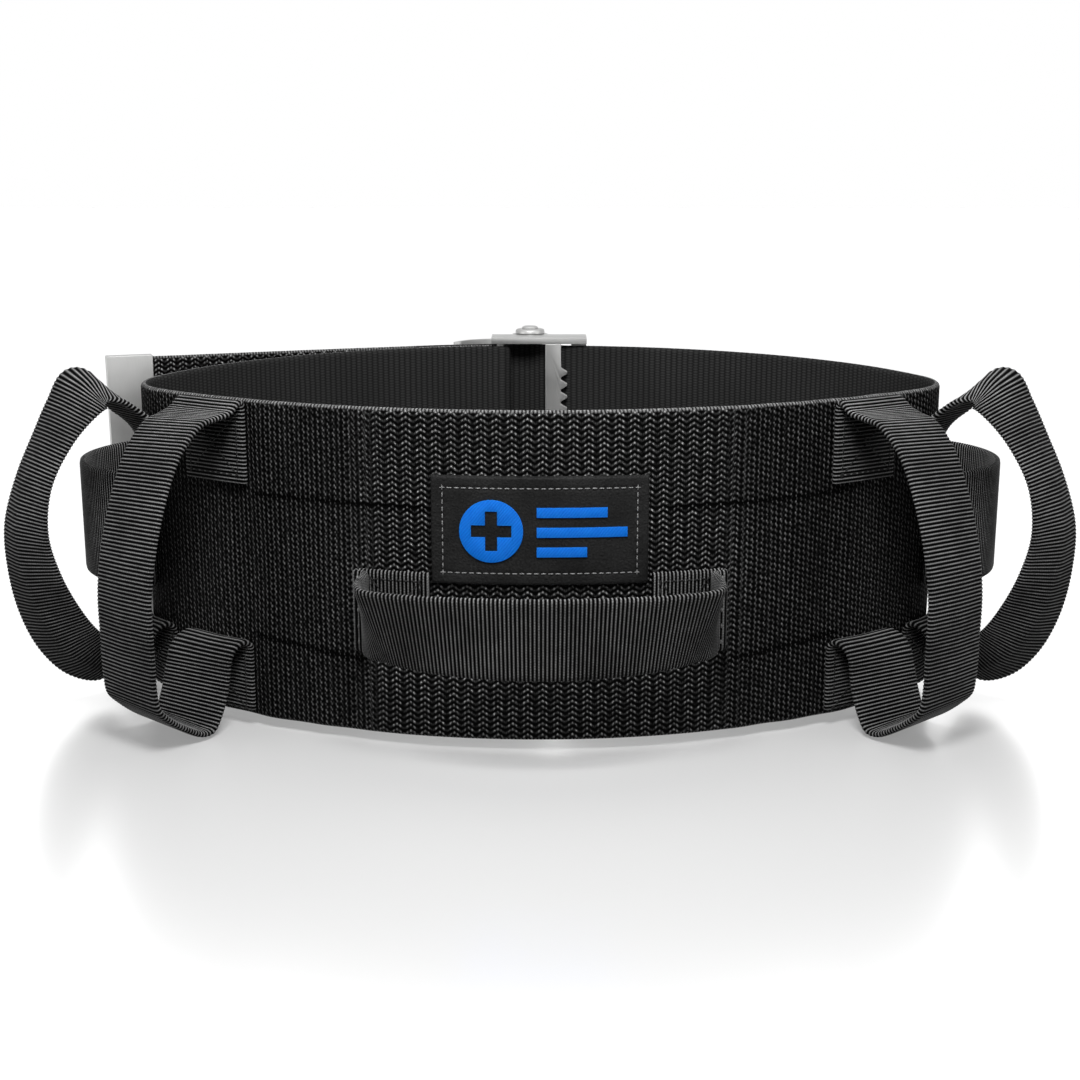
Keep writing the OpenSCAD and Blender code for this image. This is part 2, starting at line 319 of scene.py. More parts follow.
@dataclass(frozen=True)
class HerringboneFinish:
    """Heavy webbing whose weave runs in columns of chevrons, each arm a short row of beads of thread."""

    name: str
    column: float = 4.5
    row: float = 1.8
    slope: float = 0.78
    beads: float = 4.0
    # dark and light: colours of the painted shade in the weave's gaps and of the painted highlight on its thread tops
    dark: float = 0.001
    light: float = 0.62
    relief: float = 0.6
    width: float = 101.6
    # how much painted shade darkens the weave beside the handles
    strained_dim: float = 0.45
    # depth of the two creases, which also sets the painted shade in them
    crease: float = 0.38

    def build(self) -> bpy.types.Material:
        """Makes the material.

        Returns:
            The finished material.
        """
        tree = Shader(self.name, {"Specular IOR Level": 0.015})
        along, across = tree.cloth_coords()
        cloth = tree.cloth_vector()
        wander = tree.noise(cloth, 55.0) - 0.5
        patchy = tree.noise(cloth, 16.0, 3.0)
        speckle = tree.noise(cloth, 780.0, 1.0)
        fibre = tree.noise(cloth, 2400.0)
        place = along / self.column + wander * 0.12
        arm = abs(place.fract() - 0.5) * 2.0
        rise = across / self.row + arm * self.slope + wander * 0.5
        thread = rise.wave(1.0) ** 1.5
        bead = (place * self.beads).wave(1.0)
        # The furrow between columns lowers the relief, and through the colour it is also painted shade
        groove = 1 - (1 - arm).step(0.02, 0.3)
        height = thread * (bead * 0.8 + 0.2) * (1 - groove * 0.85)
        strained = self._strained(along, across + wander * 1.5)
        height = strained[0] * strained[1] + height * (1 - strained[1])
        # The creases dent the relief and are also painted shade in the colour
        height = height - self._creases(along, across)
        random = (speckle * 2.6 - 0.75).math("MAXIMUM", 0.12)
        # Mask of a narrow band along both edges, which gets a painted highlight
        edge = (across - self.width / 2).math("ABSOLUTE").step(self.width / 2 - 1.0, self.width / 2 - 0.3)
        # Colour follows the relief: painted highlight on the thread tops, painted shade in the gaps between them; the
        # noises are the cloth's own uneven tone
        tone_and_painted_light = (height.math("MAXIMUM", 0.0) ** 1.5) * (patchy * 1.0 + 0.45) * (fibre * 0.7 + 0.65) * random
        # Painted shade: the weave is darker beside the handles
        tone_and_painted_light = tone_and_painted_light * (1 - strained[1] * self.strained_dim)
        # Painted highlight: a scalloped bright line along both edges
        tone_and_painted_light = tone_and_painted_light + edge * along.wave(1.1) * fibre * 0.7
        colour = tree.blend(tone_and_painted_light.math("MINIMUM", 1.0), grey(self.dark), grey(self.light))
        return tree.dress(colour, 0.85 - thread * 0.2, height + fibre * 0.15, self.relief)

    def _strained(self, along: Value, across: Value) -> tuple[Value, Value]:
        """Upright rows of dots where the weave is strained beside the front handles, and where that is.

        Args:
            along: distance along the webbing.
            across: height above its lower edge.

        Returns:
            The height of the rows, and their share of the weave, which also sets how much painted shade falls there.
        """
        rows = along / (self.column * 0.375)
        stagger = rows.math("FLOOR") * 0.37
        dots = (rows.wave(1.0) ** 1.3) * ((across / self.row + stagger).wave(1.0) ** 1.3)
        reach = abs(along)
        return dots, reach.step(48.0, 66.0) * (1 - reach.step(150.0, 175.0)) * 0.85

    def _creases(self, along: Value, across: Value) -> Value:
        """Two shallow creases that run inwards from the sewn ends of the front handles; their depth also darkens the
        colour as painted shade.

        Args:
            along: distance along the webbing.
            across: height above its lower edge.

        Returns:
            The depth of the creases, which also sets the painted shade in them.
        """
        reach = abs(along)
        ends = 1 - reach.step(92.0, 98.0)
        upper = across.bell(72.5 - (95.0 - reach) * 0.012, 0.7) * reach.step(30.0, 44.0)
        lower = across.bell(27.0 - (95.0 - reach) * 0.1, 0.8) * reach.step(52.0, 66.0)
        return (upper + lower) * ends * self.crease


@dataclass(frozen=True)
class BackFinish:
    """The plainer inner face of the wide webbing: fine upright rows in dark grey."""

    name: str = "belt_back"
    column: float = 2.25
    row: float = 1.05
    # dark and light: colours of the painted shade between the cords and of the painted highlight on them
    dark: float = 0.01
    light: float = 0.05
    relief: float = 0.22

    def build(self) -> bpy.types.Material:
        """Makes the material.

        Returns:
            The finished material.
        """
        tree = Shader(self.name, {"Specular IOR Level": 0.02})
        along, across = tree.cloth_coords()
        cloth = tree.cloth_vector()
        place = along / self.column + (tree.noise(cloth, 60.0) - 0.5) * 0.15
        cord = abs((place * math.pi).math("SINE")) ** 0.6
        pick = (across / self.row + (place.math("FLOOR") * 0.5)).wave(1.0)
        patchy = tree.noise(cloth, 25.0, 3.0)
        fibre = tree.noise(cloth, 2000.0)
        # Colour follows the relief: painted highlight on the cords, painted shade between them; the noises are the
        # cloth's own uneven tone
        tone_and_painted_light = cord * (pick * 0.45 + 0.4) * (patchy * 0.8 + 0.5) * (fibre * 0.6 + 0.7)
        colour = tree.blend(tone_and_painted_light.math("MINIMUM", 1.0), grey(self.dark), grey(self.light))
        return tree.dress(colour, 0.8, cord * 0.6 + pick * 0.4 + fibre * 0.1, self.relief)


@dataclass(frozen=True)
class RibFinish:
    """Flat webbing with a rib at each pick, and fine warp threads across the ribs."""

    name: str
    pitch: float = 1.2
    warp: float = 0.85
    # dark and light: colours of the painted shade in the gaps and of the painted highlight on the rib tops
    dark: float = 0.001
    light: float = 0.3

    def build(self) -> bpy.types.Material:
        """Makes the material.

        Returns:
            The finished material.
        """
        tree = Shader(self.name, {"Specular IOR Level": 0.015})
        along, across = tree.cloth_coords()
        cloth = tree.cloth_vector()
        rib = along.wave(self.pitch)
        warp = (across + along.wave(2 * self.pitch) * 0.3).wave(self.warp)
        patchy = tree.noise(cloth, 42.0, 3.0)
        fibre = tree.noise(cloth, 2300.0)
        streak = tree.noise(cloth, 260.0, 2.0)
        # Colour follows the ribs: painted highlight on their tops, painted shade in the gaps; the noises are the
        # cloth's own uneven tone
        tone_and_painted_light = (rib**3.6) * (warp * 0.3 + 0.7) * (patchy * 1.5 + 0.2) * (fibre * 0.5 + 0.75) * (streak * 0.8 + 0.6)
        colour = tree.blend(tone_and_painted_light.math("MINIMUM", 1.0), grey(self.dark), grey(self.light))
        return tree.dress(colour, 0.8 - rib * 0.22, rib * 0.6 + warp * 0.3 + fibre * 0.2, 0.22)


@dataclass(frozen=True)
class PatchFinish:
    """Black imitation leather, finely grained and a little shiny."""

    name: str = "black_patch"
    base: float = 0.0025
    worn: float = 0.03

    def build(self) -> bpy.types.Material:
        """Makes the material.

        Returns:
            The finished material.
        """
        tree = Shader(self.name, {"Specular IOR Level": 0.05})
        cloth = tree.cloth_vector()
        cells = tree.node("ShaderNodeTexVoronoi", {"feature": "DISTANCE_TO_EDGE"}, {"Vector": cloth, "Scale": 900.0})
        grain = tree.value(cells.outputs[0]).step(0.0, 0.35)
        cloudy = tree.noise(cloth, 70.0, 4.0)
        fine = tree.noise(cloth, 1500.0, 3.0)
        colour = tree.blend((cloudy * fine * 2.2).math("MINIMUM", 1.0), grey(self.base), grey(self.worn))
        return tree.dress(colour, 0.42 + cloudy * 0.25, grain * 0.5 + fine * 0.3 + cloudy, 0.16)


@dataclass(frozen=True)
class ThreadFinish:
    """Twisted sewing thread."""

    name: str
    level: float = 0.05
    tint: tuple[float, float, float] | None = None

    def build(self) -> bpy.types.Material:
        """Makes the material.

        Returns:
            The finished material.
        """
        tree = Shader(self.name, {"Specular IOR Level": 0.12})
        where = tree.object_vector()
        twist = tree.node(
            "ShaderNodeTexWave", {"wave_type": "BANDS", "bands_direction": "DIAGONAL"},
            {"Vector": where, "Scale": 900.0, "Distortion": 1.5},
        )
        strand = tree.value(twist.outputs["Fac"])
        bright = (*self.tint, 1.0) if self.tint else grey(self.level)
        # deep: a darker copy of the thread colour; colour follows the twist's relief, painted shade in its grooves
        deep = tuple(c * 0.45 for c in bright[:3]) + (1.0,)
        colour = tree.blend(strand * 0.6 + tree.noise(where, 300.0) * 0.4, deep, bright)
        return tree.dress(colour, 0.7 - strand * 0.15, strand, 0.12)


@dataclass(frozen=True)
class SatinMetalFinish:
    """Satin nickel-plated steel, brushed along its length."""

    name: str = "satin_nickel"
    colour: tuple[float, float, float] = (0.44, 0.44, 0.435)
    roughness: float = 0.33

    def build(self) -> bpy.types.Material:
        """Makes the material.

        Returns:
            The finished material.
        """
        tree = Shader(self.name, {"Metallic": 1.0})
        where = tree.object_vector()
        stretched = tree.node("ShaderNodeVectorMath", {"operation": "MULTIPLY"}, {0: where, 1: (1.0, 1.0, 0.06)})
        brushed = tree.noise(stretched.outputs[0], 2200.0, 3.0)
        smudge = tree.noise(where, 90.0, 4.0)
        tone = (brushed * 0.3 + smudge * 0.7).math("MINIMUM", 1.0)
        darker = tuple(c * 0.8 for c in self.colour) + (1.0,)
        colour = tree.blend(tone, darker, (*self.colour, 1.0))
        return tree.dress(colour, self.roughness + smudge * 0.14 + brushed * 0.06, brushed, 0.03)


@dataclass(frozen=True)
class EmbroideryFinish:
    """Satin stitch in blue thread."""

    name: str = "blue_embroidery"
    # deep and bright: colours of the painted shade between the satin strands and of their tops
    deep: tuple[float, float, float] = (0.0, 0.09, 0.75)
    bright: tuple[float, float, float] = (0.006, 0.3, 1.0)

    def build(self) -> bpy.types.Material:
        """Makes the material.

        Returns:
            The finished material.
        """
        tree = Shader(self.name, {"Specular IOR Level": 0.2})
        where = tree.object_vector()
        parts = tree.node("ShaderNodeSeparateXYZ", None, {0: where})
        slant = (tree.value(parts.outputs[0]) + tree.value(parts.outputs[2]) * 0.35) / MM
        strand = (slant + tree.noise(where, 260.0) * 0.35).wave(0.42)
        # Colour follows the strands' relief: painted shade between them, lighter on their tops; the noise is the
        # thread's own uneven tone
        colour = tree.blend(strand * 0.75 + tree.noise(where, 500.0) * 0.3, (*self.deep, 1.0), (*self.bright, 1.0))
        return tree.dress(colour, 0.5 - strand * 0.15, strand, 0.12)


@dataclass(frozen=True)
class FloorFinish:
    """Glossy white studio floor. It shows a soft reflection, and throws little light back on the cloth."""

    name: str = "white_floor"
    level: float = 1.0
    glow: float = 0.25
    returned: float = 0.1
    metallic: float = 0.56
    roughness: float = 0.27

    def build(self) -> bpy.types.Material:
        """Makes the material.

        Returns:
            The finished material.
        """
        tree = Shader(self.name, {"Metallic": self.metallic, "Emission Strength": self.glow})
        grain = tree.noise(tree.object_vector(), 6.0)
        bounce = tree.value(tree.node("ShaderNodeLightPath").outputs["Is Diffuse Ray"])
        colour = tree.blend(grain, grey(self.level), grey(self.level * 0.99))
        colour = tree.blend(bounce, colour, grey(self.returned))
        glow = tree.blend(bounce, grey(1.0), grey(self.returned))
        tree.data.links.new(glow, tree.surface.inputs["Emission Color"])
        return tree.dress(colour, self.roughness, grain, 0.001)


# ---------------------------------------------------------------------------
# Shapes
# ---------------------------------------------------------------------------


def smooth(low: float, high: float, x: np.ndarray | float) -> Any:
    """A smooth rise from 0 at low to 1 at high, for numbers and arrays."""
    t = np.clip((np.asarray(x, float) - low) / (high - low), 0, 1)
    return t * t * (3 - 2 * t)


def even_path(rows: Sequence[Sequence[float]], step: float, measured: int, round_off: bool = True) -> np.ndarray:
    """A path through control rows, with rows at even distances.

    Args:
        rows: control rows; the first columns are coordinates and the rest go along with them.
        step: distance between the new rows.
        measured: how many columns are coordinates.
        round_off: whether to pass a centripetal spline through the rows, or straight lines.

    Returns:
        The new rows, with the distance along the path as one more column.
    """
    p = np.asarray(rows, float)
    dense = _through(p, measured) if round_off else p
    gaps = np.linalg.norm(np.diff(dense[:, :measured], axis=0), axis=1)
    run = np.concatenate([[0.0], np.cumsum(gaps)])
    count = max(2, int(round(run[-1] / step)) + 1)
    at = np.linspace(0.0, run[-1], count)
    columns = [np.interp(at, run, dense[:, k]) for k in range(p.shape[1])]
    return np.column_stack([*columns, at])


def _through(p: np.ndarray, measured: int, samples: int = 40) -> np.ndarray:
    """Centripetal Catmull-Rom spline through rows, densely sampled.

    Args:
        p: the control rows.
        measured: how many columns are coordinates.
        samples: how many rows to make between two control rows.

    Returns:
        The dense rows.
    """
    p = np.vstack([2 * p[0] - p[1], p, 2 * p[-1] - p[-2]])
    out = []
    for i in range(1, len(p) - 2):
        a, b, c, d = p[i - 1 : i + 3]
        t = [0.0]
        for u, v in ((a, b), (b, c), (c, d)):
            t.append(t[-1] + max(np.linalg.norm((v - u)[:measured]), 1e-6) ** 0.5)
        x = np.linspace(t[1], t[2], samples, endpoint=False)[:, None]
        a1 = (t[1] - x) / (t[1] - t[0]) * a + (x - t[0]) / (t[1] - t[0]) * b
        a2 = (t[2] - x) / (t[2] - t[1]) * b + (x - t[1]) / (t[2] - t[1]) * c
        a3 = (t[3] - x) / (t[3] - t[2]) * c + (x - t[2]) / (t[3] - t[2]) * d
        b1 = (t[2] - x) / (t[2] - t[0]) * a1 + (x - t[0]) / (t[2] - t[0]) * a2
        b2 = (t[3] - x) / (t[3] - t[1]) * a2 + (x - t[1]) / (t[3] - t[1]) * a3
        out.append((t[2] - x) / (t[2] - t[1]) * b1 + (x - t[1]) / (t[2] - t[1]) * b2)
    return np.vstack([*out, p[-2]])


def directions(points: np.ndarray) -> np.ndarray:
    """Unit direction of travel at each row of a path."""
    d = np.gradient(points, axis=0)
    return d / np.maximum(np.linalg.norm(d, axis=1, keepdims=True), 1e-9)


@dataclass(frozen=True)
class Outline:
    """The loop seen from above, as three arcs that meet smoothly.

    A place on the outer face is its distance s from the front centre, negative on the left.
    """

    front_y: float
    lift: float
    front_r: float = 183.0
    side_r: float = 32.5
    rear_r: float = 138.0
    half_w: float = 132.5

    @property
    def side_x(self) -> float:
        """X of the centre of the side bend."""
        return self.half_w - self.side_r

    @property
    def side_y(self) -> float:
        """Y of the centre of the side bend, from the front of the belt."""
        return self.front_r - math.sqrt((self.front_r - self.side_r) ** 2 - self.side_x**2)

    @property
    def rear_y(self) -> float:
        """Y of the centre of the back arc, from the front of the belt."""
        return self.side_y - math.sqrt((self.rear_r - self.side_r) ** 2 - self.side_x**2)

    def _arcs(self) -> tuple[np.ndarray, np.ndarray, np.ndarray, np.ndarray]:
        """Centres, radii, start angles and start distances of the arcs.

        Returns:
            The four arrays, one row for each arc.
        """
        front = math.asin(self.side_x / (self.front_r - self.side_r))
        rear = math.asin(self.side_x / (self.rear_r - self.side_r))
        turns = [-math.pi / 2, front - math.pi / 2, math.pi / 2 - rear]
        radii = np.array([self.front_r, self.side_r, self.rear_r])
        starts = [0.0, self.front_r * (turns[1] - turns[0])]
        starts.append(starts[1] + self.side_r * (turns[2] - turns[1]))
        centres = np.array([[0.0, self.front_r], [self.side_x, self.side_y], [0.0, self.rear_y]])
        return centres, radii, np.array(turns), np.array(starts)

    def angle(self, s: Any) -> np.ndarray:
        """Direction that the outer face points in at s, for s of 0 or more.

        Args:
            s: distance along the outline.

        Returns:
            The direction, as an angle from X.
        """
        _, radii, turns, starts = self._arcs()
        s = np.asarray(s, float)
        i = np.searchsorted(starts, s, side="right") - 1
        i = np.clip(i, 0, 2)
        return turns[i] + (s - starts[i]) / radii[i]

    def at(self, s: Any, out: Any, z: Any) -> np.ndarray:
        """Points at s, at a distance out of the face and a height above the lower edge.

        Args:
            s: distance along the outline.
            out: distance out of the outer face.
            z: height above the lower edge.

        Returns:
            Points in the part's frame, in millimetres.
        """
        s, out, z = np.broadcast_arrays(np.asarray(s, float), np.asarray(out, float), np.asarray(z, float))
        centres, radii, _, starts = self._arcs()
        side = np.where(s < 0, -1.0, 1.0)
        a = np.abs(s)
        i = np.clip(np.searchsorted(starts, a, side="right") - 1, 0, 2)
        turn = self.angle(a)
        r = radii[i] + out + self.wave(s, z)
        x = side * (centres[i, 0] + r * np.cos(turn))
        y = centres[i, 1] + r * np.sin(turn) + self.front_y
        return np.stack([x, y, z + self.lift], axis=-1)

    @staticmethod
    def wave(s: np.ndarray, z: np.ndarray) -> np.ndarray:
        """How far the webbing is pulled out of shape, mostly beside the sewn ends.

        Args:
            s: distance along the outline.
            z: height above the lower edge.

        Returns:
            The distance out of the face.
        """
        a = np.abs(s)
        beside = smooth(52, 74, a) * (1 - smooth(118, 132, a))
        pinch = 0.55 + 0.45 * np.cos((z - 49) / 13.5)
        pulled = 0.34 * np.sin(a / 3.3 + 0.02 * z) * pinch + 0.3 * np.cos(a / 7.5 + 0.6) * np.sin(z / 12.0 + 0.8)
        gentle = 0.2 * np.sin(a / 13.0 + z / 27.0) * (1 - smooth(170, 215, a)) * smooth(36, 60, a)
        return beside * pulled + gentle

    def rear_s(self, degrees: float) -> float:
        """Distance along the outline of a direction on the back arc, right of the middle."""
        _, radii, turns, starts = self._arcs()
        return float(starts[2] + (math.radians(degrees) - turns[2]) * radii[2])

    def on_rear(self, r: Any, degrees: Any) -> np.ndarray:
        """Points around the back arc's centre, as X and Y in the part's frame."""
        t = np.radians(np.asarray(degrees, float))
        return np.stack([r * np.cos(t), self.rear_y + self.front_y + r * np.sin(t)], axis=-1)


@dataclass(frozen=True)
class Webbing:
    """Width, thickness and mesh density of a webbing."""

    width: float
    thick: float
    columns: int
    edge: float = 0.9

    def across(self) -> np.ndarray:
        """Distances from the middle of the webbing, closer together at its edges."""
        t = np.linspace(-1, 1, self.columns + 1)
        return np.sin(t * math.pi / 2) * self.width / 2

    def ring(self) -> tuple[np.ndarray, np.ndarray]:
        """The closed cross-section.

        Returns:
            The distances across, and the distances out of the middle layer.
        """
        w = self.across()
        from_edge = self.width / 2 - np.abs(w)
        h = self.thick / 2 * np.sqrt(np.maximum(0.1, 1 - (1 - np.minimum(1, from_edge / self.edge)) ** 2))
        return np.concatenate([w, w[::-1]]), np.concatenate([h, -h[::-1]])


def hand_strap() -> Webbing:
    """The narrow webbing of the upright handles and the centre handle."""
    return Webbing(25.4, 1.8, 14)


def new_object(name: str, mesh: bpy.types.Mesh, *finishes: bpy.types.Material) -> bpy.types.Object:
    """Puts a mesh in the scene with its materials.

    Args:
        name: name of the object.
        mesh: its mesh.
        finishes: its materials, in order.

    Returns:
        The object.
    """
    obj = bpy.data.objects.new(name, mesh)
    bpy.context.scene.collection.objects.link(obj)
    for finish in finishes:
        mesh.materials.append(finish)
    return obj


def mesh_from(name: str, points: np.ndarray, faces: Sequence[Sequence[int]]) -> bpy.types.Mesh:
    """Makes a mesh from points in millimetres.

    Args:
        name: name of the mesh.
        points: the points.
        faces: the faces, as indices of points.

    Returns:
        The mesh, in metres.
    """
    mesh = bpy.data.meshes.new(name)
    mesh.from_pydata([tuple(p) for p in np.asarray(points, float) * MM], [], [tuple(f) for f in faces])
    mesh.update()
    return mesh


def turn_outwards(mesh: bpy.types.Mesh) -> None:
    """Makes every face of a closed mesh point outwards, and shades it smooth.

    Args:
        mesh: the mesh, which is changed.
    """
    work = bmesh.new()
    work.from_mesh(mesh)
    bmesh.ops.recalc_face_normals(work, faces=work.faces)
    work.to_mesh(mesh)
    work.free()
    mesh.shade_smooth()


def webbing_mesh(
    name: str,
    webbing: Webbing,
    along: np.ndarray,
    place: Callable[[np.ndarray, np.ndarray], np.ndarray],
    mirror: bool = False,
    across_from: float = 0.0,
) -> bpy.types.Mesh:
    """Sweeps a webbing's cross-section.

    Args:
        name: name of the mesh.
        webbing: the webbing.
        along: distance along the webbing at each station, which its map takes.
        place: gives the points of all stations from the ring's two columns.
        mirror: whether to make the mirror image in X.
        across_from: what the map's across value is at the webbing's middle.

    Returns:
        A closed mesh with its map, and with attributes for the ribs.
    """
    w, h = webbing.ring()
    points = place(w, h).reshape(-1, 3)
    if mirror:
        points = points * np.array([-1.0, 1.0, 1.0])
    n, m = len(along), len(w)
    faces = [
        (i * m + j, i * m + (j + 1) % m, (i + 1) * m + (j + 1) % m, (i + 1) * m + j)
        for i in range(n - 1)
        for j in range(m)
    ]
    faces += [tuple(range(m - 1, -1, -1)), tuple((n - 1) * m + j for j in range(m))]
    mesh = mesh_from(name, points, faces)
    inner = np.array([m // 2 <= j < m for _ in range(n - 1) for j in range(m)] + [False, False])
    mesh.polygons.foreach_set("material_index", inner.astype(np.int32))
    turn_outwards(mesh)
    lengths = np.repeat(along, m)
    widths = np.tile(w, n) + across_from
    flat = np.tile(np.abs(h) / (webbing.thick / 2), n)
    for label, values in (("along", lengths), ("flat", flat)):
        mesh.attributes.new(label, "FLOAT", "POINT").data.foreach_set("value", values.astype(np.float32))
    corners = np.zeros(len(mesh.loops), np.int32)
    mesh.loops.foreach_get("vertex_index", corners)
    uv = np.column_stack([lengths[corners], widths[corners]]) * MM
    mesh.uv_layers.new(name=UV_NAME).data.foreach_set("uv", uv.astype(np.float32).ravel())
    return mesh


# ---------------------------------------------------------------------------
# Geometry Nodes
# ---------------------------------------------------------------------------


class Recipe:
    """A Geometry Nodes tree with named inputs, which can be run on any object."""

    def __init__(self, name: str, sizes: dict[str, float]) -> None:
        """Starts the tree.

        Args:
            name: name of the tree.
            sizes: the named number inputs and their defaults.
        """
        self.group = bpy.data.node_groups.new(name, "GeometryNodeTree")
        face = self.group.interface
        face.new_socket("Geometry", in_out="INPUT", socket_type="NodeSocketGeometry")
        for label, default in sizes.items():
            face.new_socket(label, in_out="INPUT", socket_type="NodeSocketFloat").default_value = default
        face.new_socket("Finish", in_out="INPUT", socket_type="NodeSocketMaterial")
        face.new_socket("Geometry", in_out="OUTPUT", socket_type="NodeSocketGeometry")
        self.tree = Tree(self.group)
        self.given = self.tree.node("NodeGroupInput").outputs

    def size(self, label: str) -> Value:
        """A named number input."""
        return self.tree.value(self.given[label])

    def close(self, geometry: Any) -> None:
        """Ends the tree: instances become real, and the finish is set.

        Args:
            geometry: the last geometry socket.
        """
        real = self.tree.node("GeometryNodeRealizeInstances", None, {0: geometry})
        round_ = self.tree.node("GeometryNodeSetShadeSmooth", None, {0: real.outputs[0]})
        done = self.tree.node(
            "GeometryNodeSetMaterial", None, {"Geometry": round_.outputs[0], "Material": self.given["Finish"]}
        )
        self.tree.node("NodeGroupOutput", None, {0: done.outputs[0]})

    def run(self, obj: bpy.types.Object, name: str, finish: bpy.types.Material, **sizes: float) -> bpy.types.Object:
        """Runs the tree on an object and keeps the plain result.

        Args:
            obj: the object, which is used up.
            name: name of the result.
            finish: material of the result.
            sizes: values of the named inputs, with underscores for spaces.

        Returns:
            A new object with a plain mesh.
        """
        modifier = obj.modifiers.new("recipe", "NODES")
        modifier.node_group = self.group
        wanted = {label.replace("_", " "): value for label, value in sizes.items()} | {"Finish": finish}
        for item in self.group.interface.items_tree:
            if item.item_type == "SOCKET" and item.in_out == "INPUT" and item.name in wanted:
                modifier[item.identifier] = wanted[item.name]
        return evaluated_copy(obj, name)


def evaluated_copy(obj: bpy.types.Object, name: str) -> bpy.types.Object:
    """Turns an object with modifiers into a plain one, and removes the first.

    Args:
        obj: the object, which is used up.
        name: name of the plain one.

    Returns:
        The plain object.
    """
    graph = bpy.context.evaluated_depsgraph_get()
    graph.update()
    mesh = bpy.data.meshes.new_from_object(obj.evaluated_get(graph), preserve_all_data_layers=True, depsgraph=graph)
    old = obj.data
    bpy.data.objects.remove(obj)
    bpy.data.meshes.remove(old)
    mesh.name = name
    return new_object(name, mesh)


def rib_recipe() -> Recipe:
    """Ribs across a webbing: its faces rise and fall along its length.

    Returns:
        The recipe.
    """
    recipe = Recipe("woven_ribs", {"Pitch": 1.2, "Depth": 0.16})
    tree = recipe.tree

    def attribute(label: str) -> Value:
        """A number stored on the mesh's points."""
        found = tree.node("GeometryNodeInputNamedAttribute", {"data_type": "FLOAT"}, {"Name": label})
        return tree.value(found.outputs[0])

    rise = (attribute("along") / recipe.size("Pitch") * TURN).math("COSINE") * recipe.size("Depth") * attribute("flat")
    normal = tree.node("GeometryNodeInputNormal").outputs[0]
    offset = tree.node("ShaderNodeVectorMath", {"operation": "SCALE"}, {0: normal, "Scale": rise * MM})
    moved = tree.node(
        "GeometryNodeSetPosition", None, {"Geometry": recipe.given["Geometry"], "Offset": offset.outputs[0]}
    )
    recipe.close(moved.outputs[0])
    return recipe


def stitch_recipe() -> Recipe:
    """A row of stitches along each line of a wire mesh.

    Returns:
        The recipe.
    """
    recipe = Recipe("stitch_rows", {"Pitch": 2.4, "Length": 1.9, "Thread": 0.55})
    tree = recipe.tree
    line = tree.node("GeometryNodeMeshToCurve", None, {"Mesh": recipe.given["Geometry"]})
    spaced = tree.node(
        "GeometryNodeResampleCurve", {"mode": "LENGTH"},
        {"Curve": line.outputs[0], "Length": recipe.size("Pitch") * MM},
    )
    turned = tree.node(
        "FunctionNodeAlignRotationToVector", {"axis": "Z"},
        {"Vector": tree.node("GeometryNodeInputTangent").outputs[0]},
    )
    grain = tree.node("GeometryNodeMeshUVSphere", None, {"Segments": 7, "Rings": 6, "Radius": 0.5})
    size = tree.node(
        "ShaderNodeCombineXYZ", None,
        {0: recipe.size("Thread") * MM, 1: recipe.size("Thread") * MM, 2: recipe.size("Length") * MM},
    )
    rows = tree.node(
        "GeometryNodeInstanceOnPoints", None,
        {
            "Points": spaced.outputs[0], "Instance": grain.outputs[0],
            "Rotation": turned.outputs[0], "Scale": size.outputs[0],
        },
    )
    recipe.close(rows.outputs[0])
    return recipe


# ---------------------------------------------------------------------------
# The workshop: what every sub-assembly is made with
# ---------------------------------------------------------------------------


